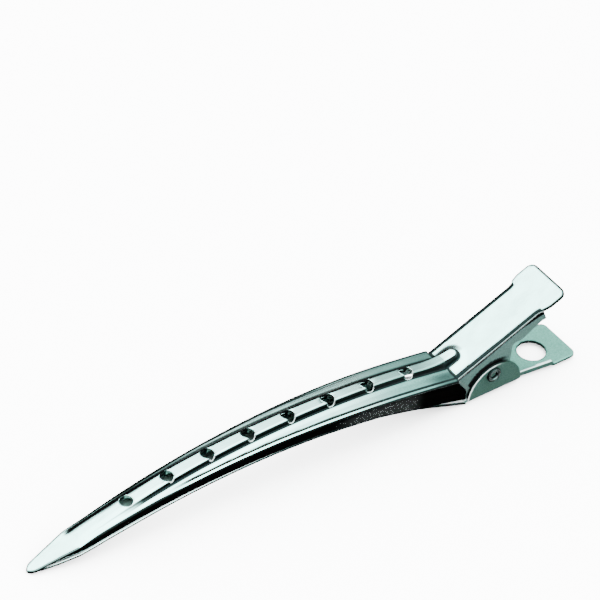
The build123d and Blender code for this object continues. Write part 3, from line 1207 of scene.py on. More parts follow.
    def lever_section(self, length: float, flanged: bool) -> Section:
        """Section across the lever at a length from the bend.

        Args:
            length: Length along the lever.
            flanged: Whether the lever has its side flange there.

        Returns:
            Outer and inner rows of points.
        """
        half = self.lever_half_at(length)
        over = length - (self.lever_length - self.lever_corner)
        if over > 0:
            half += sqrt(max(0.0, self.lever_corner**2 - over**2)) - self.lever_corner
        rim = Rim(self.outline.sheet, self.tip_edge_radius, self.lever_rows)
        if flanged:
            rim = Rim(self.flange_depth(length), self.lever_edge_radius, self.lever_rows)
        bead_half = self.bead_half_rows[-1][1]
        room = self.lever_half - self.lever_edge_radius - bead_half - self.bead_clearance
        outer, inner = self.across(half, self.lever_bead(length, room), rim)
        angle = radians(self.lever_angle)
        raised = angle + (self.bend_normal() - angle) * ease(1.0 - length / self.lean_reach)

        def placed(rows: Half) -> list[Point]:
            """Points of a row, all square to the lever but for the bead by the bend.

            Args:
                rows: Rows of (y, offset square to the lever, drop under that).

            Returns:
                The points.
            """
            points = []
            for y, offset, drop in rows:
                lean = raised if offset > 0 else angle
                x = self.outline.bend_x + length * cos(angle) - offset * sin(lean)
                z = self.outline.bend_z + length * sin(angle) + offset * cos(lean)
                points.append((x + drop * sin(angle), y, z - drop * cos(angle)))
            return points

        return placed(both_sides(outer)), placed(both_sides(inner))

    def skin(self, x: float, y: float, z: float) -> tuple[float, float]:
        """How dull the skin is at a point, and the light painted there.

        Args:
            x: The point's x.
            y: The point's y.
            z: The point's z.

        Returns:
            Dullness from 0 to 1, and painted light from -1, painted shade, to 1, a painted
            highlight.
        """
        line = self.outline
        angle = radians(self.lever_angle)
        along = (x - line.bend_x) * cos(angle) + (z - line.bend_z) * sin(angle)
        under = (x - line.bend_x) * sin(angle) - (z - line.bend_z) * cos(angle)
        if x > line.bend_x - self.lever_back and along > self.lever_lean * under:
            return self.lever_skin(x, y, z, along, under)
        return self.blade_skin(x, y, z)

    def lever_skin(
        self, x: float, y: float, z: float, along: float, under: float
    ) -> tuple[float, float]:
        """How dull the skin is at a point of the lever, and the light painted there.

        Args:
            x: The point's x.
            y: The point's y.
            z: The point's z.
            along: Its length along the lever.
            under: Its depth square under the lever's top.

        Returns:
            Dullness from 0 to 1, and painted light from -1, painted shade, to 1, a painted
            highlight.
        """
        look, radius, sheet = self.lever_look, self.lever_edge_radius, self.outline.sheet
        end = self.lever_length - along
        inset = self.lever_half_at(along) - abs(y)
        # Painted shade: a dark line round the tab's outline, half dark on its underside.
        if along >= self.flange_end - 0.01:
            corner = self.lever_corner
            rim = min(inset, end)
            if inset < corner and end < corner:
                rim = corner - hypot(corner - inset, corner - end)
            return 0.0, -look.tab_rim.at(rim) if under < look.tab_under else look.tab_under_shade
        if under > sheet and abs(y) < self.lever_half - look.inside_inset:
            return look.inside.at(under - sheet), 0.0
        # On the flange: painted shade in a band under the lever's top bend, and a painted shadow
        # arc round the lower ear's rim.
        if inset < 0.01 or under > radius - 0.02:
            wedge = radius + look.wedge + look.wedge_growth * look.wedge_from.at(along)
            reach, height = x - look.ear_shadow_centre[0], z - look.ear_shadow_centre[1]
            turn = atan2(height, reach)
            ear_shadow = look.ear_shadow_ring.at(hypot(reach, height))
            ear_shadow *= look.ear_shadow_first.at(turn) * look.ear_shadow_last.at(turn)
            tone = -ease((wedge - under) / look.shade_fade)
            return look.inside.at(under - radius), min(tone, -ear_shadow)
        # Along the long edges: a painted dark line on the far edge, a painted highlight line and
        # painted shade on the near bend.
        if y > 0:
            tone = -ease((radius + look.far_edge_shade - inset) / look.shade_fade)
        else:
            turn = asin(min(1.0, max(0.0, (radius - inset) / radius)))
            if look.near_highlight_turns[0] < turn < look.near_highlight_turns[1]:
                return 0.0, look.near_highlight
            painted_shade = radius + look.near_edge_shade
            painted_shade += look.near_growth * ease(1.0 - along / look.near_length)
            tone = -ease((painted_shade - inset) / look.near_fade)
        # Painted shade beside the bead's foot, further behind it, and in the crease at the bend.
        bead_half = self.bead_half_rows[-1][1]
        ahead = max(0.0, along - (self.bead_lever_end - bead_half))
        out = hypot(ahead, y) - bead_half
        reach = look.foot_reach
        if y > 0:
            reach += look.foot_growth * ease(1.0 - ahead / look.foot_growth_length)
        foot = look.foot_from.at(out) * ease((reach - out) / look.foot_fade)
        return 0.0, min(tone, -foot, -look.crease.at(along) * look.crease_out.at(out))

    def blade_skin(self, x: float, y: float, z: float) -> tuple[float, float]:
        """How dull the skin is at a point of the blade, and the light painted there.

        Args:
            x: The point's x.
            y: The point's y.
            z: The point's z.

        Returns:
            Dullness from 0 to 1, and painted light from -1, painted shade, to 1, a painted
            highlight.
        """
        look, line = self.blade_look, self.outline
        under = line.land(min(x, line.bend_x))[0] - z
        half = line.half_at(max(x, line.tip_x + line.nose_start), line.tip_x)
        inset = half - abs(y)
        if inset > look.inside_inset and under > line.sheet - 0.05:
            return look.inside_dull * look.inside_from.at(under - line.sheet), 0.0
        radius = self.edge_radius_at(x)
        # On the flange: faint painted light near the hinge.
        if under > radius - 0.02:
            faint_lightening = look.faint_lightening * look.lightening_from.at(x) * look.lightening_to.at(x)
            return 0.0, faint_lightening * look.lightening_under.at(under - radius)
        out = abs(y) - reading(self.bead_half_rows, x)
        worked = look.worked.at(x) * (look.worked_bead if out < 0 else 1.0)
        # Painted shade: darker towards the hinge, more on the lands and on the near side.
        tone = -look.shade * look.shade_from.at(x)
        if out > 0:
            tone -= look.land_shade * look.land_shade_from.at(x)
        if y < 0:
            tone -= look.near_shade * look.near_shade_from.at(x) * look.near_shade_out.at(out)
        # Painted shade: a dark line round the tip's outline.
        if x < look.tip_end and inset < look.tip_reach:
            tone = min(tone, look.tip_shade * look.tip_rim.at(inset))
        # Painted shade along the long bends.
        if under > -0.1:
            tone = min(tone, -self.edge_shade(x, y, inset, radius))
        if x < look.round_end:
            out += hypot(max(0.0, look.bead_start - x), y) - abs(y)
        # Painted shade beside the bead's foot, and in the crease at the bend.
        foot = self.foot_shade(x, y, out)
        crease = ease((x - line.bend_x + look.crease_length) / look.crease_fade)
        return worked, min(tone, -foot, -crease * look.crease_out.at(out))

    def edge_shade(self, x: float, y: float, inset: float, radius: float) -> float:
        """How much painted shade lies along the blade's long bend: a dark line on the far outline,
        or on the near side over the bend and along the score line.

        Args:
            x: The point's x.
            y: The point's y, above 0 on the far side.
            inset: Its distance from the blade's edge.
            radius: Radius of the bend.

        Returns:
            Painted shade from 0 to 1.
        """
        look, edge = self.blade_look, inset - radius
        if y > 0:
            painted_shade = look.far_edge_shade + look.far_edge_shade * look.far_growth.at(x)
            return ease((radius + painted_shade - inset) / look.far_fade)
        if x <= look.tip_end:
            return 0.0
        turn = asin(min(1.0, max(0.0, -edge / radius)))
        start = look.bend_turn + look.bend_turn_growth * look.bend_turn_from.at(x)
        dark = ease((turn - start) / look.bend_turn_fade)
        if x > look.score_start:
            painted_shade = ease((edge - look.score_margin) / look.score_fade)
            painted_shade *= ease((self.score_width - look.score_margin - edge) / look.score_fade)
            dark = max(dark, painted_shade * look.score_from.at(x))
        return dark

    def foot_shade(self, x: float, y: float, out: float) -> float:
        """How much painted shade lies at the bead's foot: behind the bead it reaches further.

        Args:
            x: The point's x.
            y: The point's y, above 0 on the far side.
            out: Its distance outside the middle of the bead's wall.

        Returns:
            Painted shade from 0 to 1.
        """
        look = self.blade_look
        if y <= 0:
            return look.near_foot.at(out) * look.near_foot_to.at(out) * look.near_foot_from.at(x)
        rear = look.far_rear_from.at(x)
        reach = look.far_reach + look.far_reach_mid * look.far_reach_mid_from.at(x)
        reach += look.far_reach_rear * rear
        fade = look.far_fade_front + look.far_fade_rear * rear
        return look.far_foot.at(out) * ease((reach - out) / fade) * look.far_foot_from.at(x)

    def burrs(self, mesh: bmesh.types.BMesh) -> None:
        """Add the thin raised rim round each hole, lying on the bead.

        Args:
            mesh: The mesh that the rims are added to.
        """
        for centre in self.hole_centres():
            rings = []
            for j in range(self.burr_segments):
                turn = 2 * pi * j / self.burr_segments
                ring = []
                for reach, lift in self.burr:
                    x, y = centre + reach * cos(turn), reach * sin(turn)
                    ring.append(mesh.verts.new(Vector((x, y, self.bead_z(x, y) + lift)) * MM))
                rings.append(ring)
            join_rings(mesh, rings)

    def bead_z(self, x: float, y: float) -> float:
        """Height of the blade's skin at a point of the bead.

        Args:
            x: The point's x.
            y: The point's y.

        Returns:
            The skin's z.
        """
        line = self.outline
        bead_half = reading(self.bead_half_rows, x)
        room = line.half_at(x, line.tip_x) - self.edge_radius - bead_half - self.bead_clearance
        share = self.rib.rise(abs(y) - bead_half, room, reading(self.draw_rows, x))
        return line.land(x)[0] + self.bead_height(x) * share

    def burr_skin(self, x: float, y: float, z: float) -> tuple[float, float]:
        """How dull the rim of a hole is, and the light painted there: a painted highlight towards
        one side, painted shade inside.

        Args:
            x: The point's x.
            y: The point's y.
            z: The point's z, which makes no difference.

        Returns:
            Dullness from 0 to 1, and painted light from -1, painted shade, to 1, a painted
            highlight.
        """
        reach = x - min(self.hole_centres(), key=lambda centre: abs(x - centre))
        facing = cos(atan2(y, reach) - self.burr_light)
        # Painted shade in the bore, a painted highlight on the side of the rim that faces one way.
        if hypot(reach, y) < self.burr_inside:
            return self.burr_bore
        return self.burr_dull, self.burr_highlight * self.burr_facing.at(facing)

    def shell(self) -> bpy.types.Object:
        """Build the blade and the lever, still without their holes.

        Returns:
            The sheet.
        """
        line = self.outline
        stations = line.nose(line.tip_x, self.nose_steps)
        stations += spans(line.tip_x + line.nose_length, self.blade_steps) + [line.bend_x]
        mesh = bmesh.new()
        sheet_loft(mesh, [self.blade_section(x) for x in stations])
        sections = [self.lever_section(length, True) for length in spans(0.0, self.lever_steps)]
        sections.append(self.lever_section(self.flange_end - 0.001, True))
        tab_end = self.lever_length - self.lever_corner
        lengths = spans(self.flange_end, ((self.flare_end, 0.15), (tab_end, 0.4)))
        lengths += [tab_end + self.lever_corner * sin(pi / 2 * i / 9) for i in range(10)]
        sections += [self.lever_section(length, False) for length in lengths]
        sheet_loft(mesh, sections)
        return finished("upper_jaw_sheet", mesh)

    def punch(self, piece: bpy.types.Object) -> None:
        """Punch the row of holes along the bead, and the pin's hole through both ears.

        Args:
            piece: The sheet.
        """
        line = self.outline
        path = bpy.data.curves.new("hole_path", "CURVE")
        path.dimensions = "3D"
        spline = path.splines.new("POLY")
        last = self.guide_points - 1
        spline.points.add(last)
        reach = self.hole_pitch * (self.hole_count - 1)
        for i, point in enumerate(spline.points):
            x = line.length_to_x(self.hole_first + reach * i / last)
            z, slope = line.land(x)
            lift = self.bead_height(x)
            point.co = ((x - lift * sin(slope)) * MM, 0.0, (z + lift * cos(slope)) * MM, 1.0)
        guide = bpy.data.objects.new("hole_path", path)
        bpy.context.scene.collection.objects.link(guide)
        punch = self.hole_punch()

        tree, start, end = new_geometry_tree("perforation")
        sockets = [
            tree.interface.new_socket(name=name, in_out="INPUT", socket_type="NodeSocketObject")
            for name in ("Path", "Punch")
        ]
        ids = {
            "path": sockets[0].identifier,
            "punch": sockets[1].identifier,
            "count": add_input(tree, "Count", "NodeSocketInt", 1),
            "pin_radius": add_input(tree, "Pin hole radius", "NodeSocketFloat", 0.0),
            "pin_x": add_input(tree, "Pin x", "NodeSocketFloat", 0.0),
            "pin_z": add_input(tree, "Pin z", "NodeSocketFloat", 0.0),
        }
        given = start.outputs
        upright = {"Rotation": (pi / 2, 0.0, 0.0)}
        info = add_node(tree, "GeometryNodeObjectInfo", {"Object": given["Path"]})
        curve = {"Curve": info.outputs["Geometry"]}
        curve = add_node(tree, "GeometryNodeSetCurveNormal", curve, mode="Z_UP").outputs["Curve"]
        spread = {"Curve": curve, "Count": given["Count"]}
        points = add_node(tree, "GeometryNodeCurveToPoints", spread, mode="COUNT").outputs
        cutter = add_node(tree, "GeometryNodeObjectInfo", {"Object": given["Punch"]})
        turned = {"Geometry": cutter.outputs["Geometry"]} | upright
        turned = add_node(tree, "GeometryNodeTransform", turned).outputs["Geometry"]
        copies = {"Points": points["Points"], "Instance": turned, "Rotation": points["Rotation"]}
        copies = add_node(tree, "GeometryNodeInstanceOnPoints", copies).outputs["Instances"]
        holes = add_node(tree, "GeometryNodeRealizeInstances", {"Geometry": copies})
        pin = {
            "Vertices": self.punch_segments, "Depth": self.pin_punch_length * MM,
            "Radius": given["Pin hole radius"],
        }
        pin = add_node(tree, "GeometryNodeMeshCylinder", pin).outputs["Mesh"]
        place = add_node(tree, "ShaderNodeCombineXYZ", {"X": given["Pin x"], "Z": given["Pin z"]})
        across = {"Geometry": pin, "Translation": place.outputs["Vector"]} | upright
        across = add_node(tree, "GeometryNodeTransform", across).outputs["Geometry"]
        cut = {"Mesh 1": given["Geometry"], "Mesh 2": holes.outputs["Geometry"]}
        cut = add_node(
            tree, "GeometryNodeMeshBoolean", cut, operation="DIFFERENCE", solver="EXACT"
        )
        feed(cut, {"Mesh 2": across})
        finish_tree(tree, cut.outputs["Mesh"], end, piece)
        baked(
            piece,
            tree,
            {
                ids["path"]: guide,
                ids["punch"]: punch,
                ids["count"]: self.hole_count,
                ids["pin_radius"]: self.pin_hole_radius * MM,
                ids["pin_x"]: self.pin_x * MM,
                ids["pin_z"]: self.pin_z * MM,
            },
        )
        bpy.data.objects.remove(guide)
        bpy.data.objects.remove(punch)
        smooth(piece, SHARP_ANGLE)

    def hole_punch(self) -> bpy.types.Object:
        """Build the tool that punches a hole and rounds its upper rim, with its rim at z = 0.

        Returns:
            The tool, standing along z.
        """
        low, high = self.punch_reach
        profile = [(0.0, low), (self.hole_radius, low)]
        for i in range(7):
            turn = pi / 2 * i / 6
            out = self.hole_radius + self.hole_rim * (1 - cos(turn))
            profile.append((out, self.hole_rim * (sin(turn) - 1)))
        profile += [(profile[-1][0] + 0.02, high), (0.0, high)]
        mesh = bmesh.new()
        count = self.punch_segments
        rings = []
        for r, z in profile:
            turns = [2 * pi * i / count for i in range(1 if r == 0.0 else count)]
            places = [Vector((r * cos(turn), r * sin(turn), z)) for turn in turns]
            rings.append([mesh.verts.new(place * MM) for place in places])
        for low, high in zip(rings, rings[1:]):
            for i in range(count):
                corners = [low[i % len(low)], low[(i + 1) % len(low)]]
                corners += [high[(i + 1) % len(high)], high[i % len(high)]]
                mesh.faces.new(list(dict.fromkeys(corners)))
        bmesh.ops.recalc_face_normals(mesh, faces=mesh.faces)
        return finished("hole_punch", mesh)

    def build(self, finish: PlatedSteel) -> bpy.types.Object:
        """Build, dress and mount the upper jaw.

        Args:
            finish: The jaw's finish.

        Returns:
            The jaw.
        """
        piece = self.shell()
        piece.data.materials.append(finish.material())
        self.punch(piece)
        paint(piece, self.skin)
        rims = bmesh.new()
        self.burrs(rims)
        rim_piece = finished("hole_rims", rims)
        paint(rim_piece, self.burr_skin)
        joined = bmesh.new()
        joined.from_mesh(piece.data)
        joined.from_mesh(rim_piece.data)
        joined.to_mesh(piece.data)
        joined.free()
        bpy.data.objects.remove(rim_piece)
        smooth(piece, SHARP_ANGLE)
        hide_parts("upper_jaw")
        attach(piece, Body.UPPER.value)
        return piece


@dataclass(frozen=True)
class LowerLook:
    """Where the lower jaw's skin is dull, and where painted shade and painted highlights lie on it,
    in mm and radians.
    """

    # a painted highlight just inside the ear's upper rim, and a painted shadow at the very rim
    ear_shown: Fade = Fade(1.3, 0.4)
    ear_rim_highlight: float = 0.6
    ear_highlight_from: Fade = Fade(0.05, 0.04)
    ear_highlight_to: Fade = Fade(0.3, -0.06)
    ear_gap_shadow: Fade = Fade(0.08, -0.06)
    ear_gap_shadow_from: Fade = Fade(0.9, 0.4)
    plate_dull: float = 1.0
    # painted shade round the hang hole and under the plate's sides, a painted highlight along its
    # lip
    hang_hole_shade: float = -0.9
    low_edge: float = 0.16
    low_edge_shade: float = -1.0
    lip_highlight: float = 0.5
    strip_dull: float = 0.45
    # along the strip's edge: a painted highlight on its upper part, painted shade on its lower part
    # and towards the rear
    edge_inset: float = 0.24
    edge_rear: Fade = Fade(-2.0, 8.0)
    edge_rear_shade: float = 0.75
    edge_low: Fade = Fade(0.385, -0.03)
    edge_highlight: float = 0.5
    # on the strip's top: a dull finish that also stands in for the shade inside the closed clip,
    # and painted light growing towards the hinge
    top_dull_shade: float = 0.9
    top_light: float = 0.06
    top_light_growth: float = 0.84
    top_light_from: Fade = Fade(14.5, 4.0)


@dataclass
class LowerJaw:
    """The strip under the blade, the ears that hold the pin, and the lower handle."""

    outline: Outline = field(default_factory=Outline)
    rib: RaisedRib = field(default_factory=RaisedRib)
    look: LowerLook = LowerLook()
    rise: float = 1.5
    rib_height: float = 0.6
    rib_front_x: float = -37.0
    rib_rear_x: float = 19.8
    rib_ramp: float = 2.5
    rib_margin: float = 1.25
    rib_least_half: float = 0.3
    rib_share: float = 0.6
    rib_clearance: float = 0.05
    edge_share: float = 0.3
    ear_radius: float = 4.7
    ear_centre: float = 0.7
    ear_half: float = 3.78
    ear_steps: int = 72
    strip_extra_rows: Rows = (
        # x, how much wider than the blade half of the strip is
        (-30.0, 0.17),
        (-5.0, -0.06),
        (15.0, -0.18),
    )
    strip_extra_ramp: float = 4.0
    nose_steps: int = 8
    strip_steps: Rows = (
        # up to x, step between sections
        (-30.0, 0.3),
        (15.0, 0.5),
        (28.0, 0.3),
    )
    least_half: float = 0.1
    base_radius: float = 1.0
    band: float = 0.6
    band_from: float = 1.2
    neck_half: float = 3.2
    neck_length: float = 0.9
    plate_half: float = 3.75
    plate_end_x: float = 47.5
    plate_edge_radius: float = 0.08
    flare_length: float = 4.2
    plate_corner: float = 0.9
    lip_top: float = 1.02
    lip_radius: float = 0.42
    lip_over: float = 0.25
    lip_fade: float = 0.5
    inner_corner: float = 0.05
    rim_round: float = 0.06
    hang_hole_radius: float = 2.05
    hang_hole_back: float = 5.0
    hang_hole_segments: int = 96

    def on_handle(self, length: float, y: float, height: float) -> Point:
        """Point at a length along the handle from the ears' front.

        Args:
            length: The length.
            y: The point's y.
            height: Its height square to the handle's underside.

        Returns:
            The point.
        """
        angle = radians(self.rise)
        return (
            self.outline.strip_rear_x + length * cos(angle) - height * sin(angle),
            y,
            length * sin(angle) + height * cos(angle),
        )

    def handle_length(self) -> float:
        """Length of the handle from the ears' front to its end."""
        return (self.plate_end_x - self.outline.strip_rear_x) / cos(radians(self.rise))

    def across_handle(self, length: float, outer: Half, inner: Half) -> Section:
        """Place a section across the handle.

        Args:
            length: Length along the handle.
            outer: Half of the outer row, from the middle out: (y, height, 0).
            inner: Half of the inner row.

        Returns:
            Outer and inner rows of points.
        """
        return tuple(
            [self.on_handle(length, y, height) for y, height, _ in both_sides(rows)]
            for rows in (outer, inner)
        )

    def strip_half(self, x: float, nose_x: float) -> float:
        """Half of the strip's width at x: it shows a little beyond the blade towards the tip."""
        beyond = reading(self.strip_extra_rows, x) * ease((x - nose_x) / self.strip_extra_ramp)
        return self.outline.half_at(x, nose_x) + beyond

    def strip_section(self, x: float) -> Section:
        """Section across the strip: flat, with the rib pressed up along its middle.

        Args:
            x: Place along the strip.

        Returns:
            Outer and inner rows of points.
        """
        sheet, z = self.outline.sheet, self.outline.strip(x)
        half = max(self.least_half, self.strip_half(x, self.outline.lower_tip_x))
        rib_half = min(max(self.rib_least_half, half - self.rib_margin), self.rib_share * half)
        height = self.rib_height * ease((x - self.rib_front_x) / self.rib_ramp)
        height *= ease((self.rib_rear_x - x) / self.rib_ramp)
        edge = min(sheet / 2 - 0.005, self.edge_share * half)
        room = half - edge - rib_half - self.rib_clearance
        top: Half = [
            (y, sheet + height * self.rib.rise(y - rib_half, room), 0.0)
            for y in self.rib.places(rib_half, room)
        ]
        start = top[-1][0]
        top += [(start + (half - edge - start) * i / 3, sheet, 0.0) for i in range(1, 4)]
        under = under_skin(top, sheet)
        over = max(1.0, under[-1][0] / (half - edge))
        under = [(y / over, max(0.0, offset), drop) for y, offset, drop in under]
        for i in range(1, 9):
            turn = pi / 2 * i / 8
            side = half - edge * (1 - sin(turn))
            top.append((side, sheet - edge * (1 - cos(turn)), 0.0))
            under.append((side, edge * (1 - cos(turn)), 0.0))
        return tuple(
            [(x, y, z + offset) for y, offset, _ in both_sides(rows)] for rows in (top, under)
        )

    def trough_section(self, length: float) -> Section:
        """Section across the floor and both ears.

        Args:
            length: Length along the handle.

        Returns:
            Outer and inner rows of points.
        """
        sheet, radius = self.outline.sheet, self.base_radius
        reach = length - self.ear_radius
        top = self.ear_centre + sqrt(max(0.0, self.ear_radius**2 - reach**2))
        flat = self.ear_half - radius
        outer: Half = [(flat * i / 4, 0.0, 0.0) for i in range(5)]
        inner: Half = [(flat * i / 4, sheet, 0.0) for i in range(5)]
        low = min(1.0, top / radius)
        last = atan2(sqrt(1 - (1 - low) ** 2), 1 - low)
        bend = radius - sheet
        for i in range(1, 10):
            turn = last * i / 9
            outer.append((flat + radius * sin(turn), radius * (1 - cos(turn)), 0.0))
            inner.append((flat + bend * sin(turn), sheet + bend * (1 - cos(turn)), 0.0))
        (side, foot, _), (side_in, foot_in, _) = outer[-1], inner[-1]
        rim = self.rim_round
        wall, wall_in = max(0.0, top - foot), max(0.0, top - foot_in)
        band = self.band if wall > self.band_from else wall / 2
        # six rows up to the band below the rim, ten over the band
        for i in range(1, 17):
            share = i / 6 if i < 6 else 1.0
            step = max(0, i - 6) / 10
            lift = (wall - band) * share + (band - rim) * step
            lift_in = (wall_in - band) * share + (band - rim) * step
            outer.append((side, foot + max(lift, 0.001 * i), 0.0))
            inner.append((side_in, foot_in + max(lift_in, 0.001 * i), 0.0))
        if wall > 0.2:
            outer += [(side - rim * 0.3, top - rim * 0.3, 0.0), (side - rim, top, 0.0)]
            inner += [(side_in + rim * 0.3, top - rim * 0.3, 0.0), (side_in + rim, top, 0.0)]
        else:
            # no wall to round: two rows hardly apart keep the count
            outer += [(side - 0.01 * i, outer[-1][1] + 0.003 * i, 0.0) for i in (1, 2)]
            inner += [(side_in + 0.01 * i, inner[-1][1] + 0.003 * i, 0.0) for i in (1, 2)]
        return self.across_handle(length, outer, inner)

    def plate_section(self, length: float) -> Section:
        """Section across the handle behind the ears.

        Args:
            length: Length along the handle.

        Returns:
            Outer and inner rows of points.
        """
        sheet, end = self.outline.sheet, self.handle_length()
        neck = 2 * self.ear_radius + self.neck_length
        flare = end - self.flare_length
        half = self.neck_half + (self.plate_half - self.neck_half) * min(
            1.0, max(0.0, (length - neck) / (flare - neck))
        )
        over = length - (end - self.plate_corner)
        if over > 0:
            half += sqrt(max(0.0, self.plate_corner**2 - over**2)) - self.plate_corner
        lip = ease((flare + self.lip_over - length) / self.lip_fade)
        top = sheet + (self.lip_top - sheet) * lip
        radius = self.plate_edge_radius + (self.lip_radius - self.plate_edge_radius) * lip
        side_in, corner, rim = half - sheet, self.inner_corner, self.rim_round
        outer: Half = [((half - radius) * i / 11, 0.0, 0.0) for i in range(12)]
        inner: Half = [((half - sheet - corner) * i / 11, sheet, 0.0) for i in range(12)]
        for i in range(1, 8):
            turn = pi / 2 * i / 7
            outer.append((half - radius * (1 - sin(turn)), radius * (1 - cos(turn)), 0.0))
            lift = corner * (1 - cos(turn)) * lip
            inner.append((side_in - corner * (1 - sin(turn)), sheet + lift, 0.0))
        foot, foot_in = outer[-1][1], inner[-1][1]
        for i in range(1, 5):
            outer.append((half, foot + (top - rim - foot) * i / 4, 0.0))
            rise = max(0.0, top - rim - foot_in) * i / 4
            inner.append((side_in + 0.001 * i, foot_in + rise, 0.0))
        outer += [(half - rim * 0.3, top - rim * 0.3, 0.0), (half - rim, top, 0.0)]
        inner += [
            (side_in + rim * 0.3, max(foot_in, top - rim * 0.3), 0.0), (side_in + rim, top, 0.0)
        ]
        return self.across_handle(length, outer, inner)

    def build(self, finish: PlatedSteel) -> bpy.types.Object:
        """Build, dress and mount the lower jaw.

        Args:
            finish: The jaw's finish.

        Returns:
            The jaw.
        """
        line = self.outline
        tip = line.lower_tip_x
        stations = line.nose(tip, self.nose_steps)
        stations += spans(tip + line.nose_length, self.strip_steps)
        mesh = bmesh.new()
        sheet_loft(mesh, [self.strip_section(x) for x in stations + [line.strip_rear_x]])
        steps = self.ear_steps
        turns = [self.ear_radius * (1 - cos(pi * i / steps)) for i in range(steps + 1)]
        sheet_loft(mesh, [self.trough_section(length) for length in turns])
        end = self.handle_length()
        flare, corner = end - self.flare_length, self.plate_corner
        lengths = spans(
            2 * self.ear_radius, ((flare - 0.4, 0.3), (flare + 0.5, 0.06), (end - corner, 0.3))
        )
        lengths += [end - corner * (1 - sin(pi / 2 * i / 9)) for i in range(10)]
        plate = bmesh.new()
        sheet_loft(plate, [self.plate_section(length) for length in lengths])
        handle = finished("handle_plate", plate)
        self.bore(handle)
        mesh.from_mesh(handle.data)
        bpy.data.objects.remove(handle)
        piece = finished("lower_jaw_sheet", mesh)
        piece.data.materials.append(finish.material())
        paint(piece, self.skin)
        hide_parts("lower_jaw")
        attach(piece, Body.LOWER.value)
        return piece

    def bore(self, plate: bpy.types.Object) -> None:
        """Punch the hole by which the clip hangs through the handle's plate.

        Args:
            plate: The plate.
        """
        tool = bmesh.new()
        length = self.handle_length() - self.hang_hole_back
        x, _, z = self.on_handle(length, 0.0, self.outline.sheet / 2)
        place = Matrix.Translation(Vector((x, 0.0, z)) * MM) @ Matrix.Rotation(
            -radians(self.rise), 4, "Y"
        )
        radius = self.hang_hole_radius * MM
        bmesh.ops.create_cone(
            tool, cap_ends=True, segments=self.hang_hole_segments, radius1=radius,
            radius2=radius, depth=3 * MM, matrix=place,
        )
        cutter = finished("hang_hole_tool", tool)
        cut = plate.modifiers.new("hang_hole", "BOOLEAN")
        cut.operation = "DIFFERENCE"
        cut.solver = "EXACT"
        cut.object = cutter
        applied(plate, cut)
        bpy.data.objects.remove(cutter)

    def skin(self, x: float, y: float, z: float) -> Paint:
        """How dull the skin is at a point, and the light painted there.

        Args:
            x: The point's x.
            y: The point's y.
            z: The point's z.

        Returns:
            Dullness from 0 to 1, and painted light from -1, painted shade, to 1, a painted
            highlight.
        """
        look, rear = self.look, self.outline.strip_rear_x
        if x < rear:
            return self.strip_skin(x, y, z)
        angle = radians(self.rise)
        along = (x - rear) * cos(angle) + z * sin(angle)
        high = z * cos(angle) - (x - rear) * sin(angle)
        if along >= 2 * self.ear_radius:
            return look.plate_dull, self.plate_light(along, y, high)
        reach, up = along - self.ear_radius, high - self.ear_centre
        rim = self.ear_radius - hypot(reach, up)
        if up < 0:
            return 1.0, 0.0
        # On the ear's upper half: a painted shadow at the very rim, a painted highlight just inside
        # it.
        turn = atan2(up, reach)
        painted_highlight = look.ear_rim_highlight * look.ear_shown.at(turn)
        painted_highlight *= look.ear_highlight_to.at(rim) * look.ear_highlight_from.at(rim)
        painted_shade = look.ear_gap_shadow.at(rim) * look.ear_gap_shadow_from.at(turn)
        return 1.0, -painted_shade if painted_shade > 0.0 else painted_highlight

    def plate_light(self, along: float, y: float, high: float) -> float:
        """Painted light on the plate: painted shade round its hole and under its sides, a painted
        highlight along its lip.

        Args:
            along: The point's length along the handle.
            y: The point's y.
            high: Its height square to the handle's underside.

        Returns:
            Painted light from -1, painted shade, to 1, a painted highlight.
        """
        look, centre = self.look, self.handle_length() - self.hang_hole_back
        if hypot(along - centre, y) < self.hang_hole_radius + 0.02:
            return look.hang_hole_shade
        if abs(y) < self.neck_half - 0.1:
            return 0.0
        if high < look.low_edge:
            return look.low_edge_shade
        return look.lip_highlight if high > self.lip_top - 0.03 else 0.0

    def strip_skin(self, x: float, y: float, z: float) -> Paint:
        """Skin of the strip: dull, with a painted highlight along the upper part of its edge,
        painted shade below it and towards the rear, painted light on top towards the hinge.

        Args:
            x: The point's x.
            y: The point's y.
            z: The point's z.

        Returns:
            Dullness from 0 to 1, and painted light from -1, painted shade, to 1, a painted
            highlight.
        """
        look, high = self.look, z - self.outline.strip(x)
        # Along the edge: a painted highlight above, painted shade below and towards the rear.
        if self.strip_half(x, self.outline.lower_tip_x) - abs(y) < look.edge_inset:
            rear, dark = look.edge_rear.at(x), look.edge_low.at(high)
            if dark <= 0.0 and rear <= 0.0:
                return 0.0, look.edge_highlight
            return look.strip_dull * (1.0 - rear), -max(dark, look.edge_rear_shade * rear)
        # On top: dull, partly standing in for the shade inside the clip, with painted light towards
        # the hinge.
        if high > self.outline.sheet - 0.02:
            return look.top_dull_shade, look.top_light + look.top_light_growth * look.top_light_from.at(x)
        return look.strip_dull, 0.0


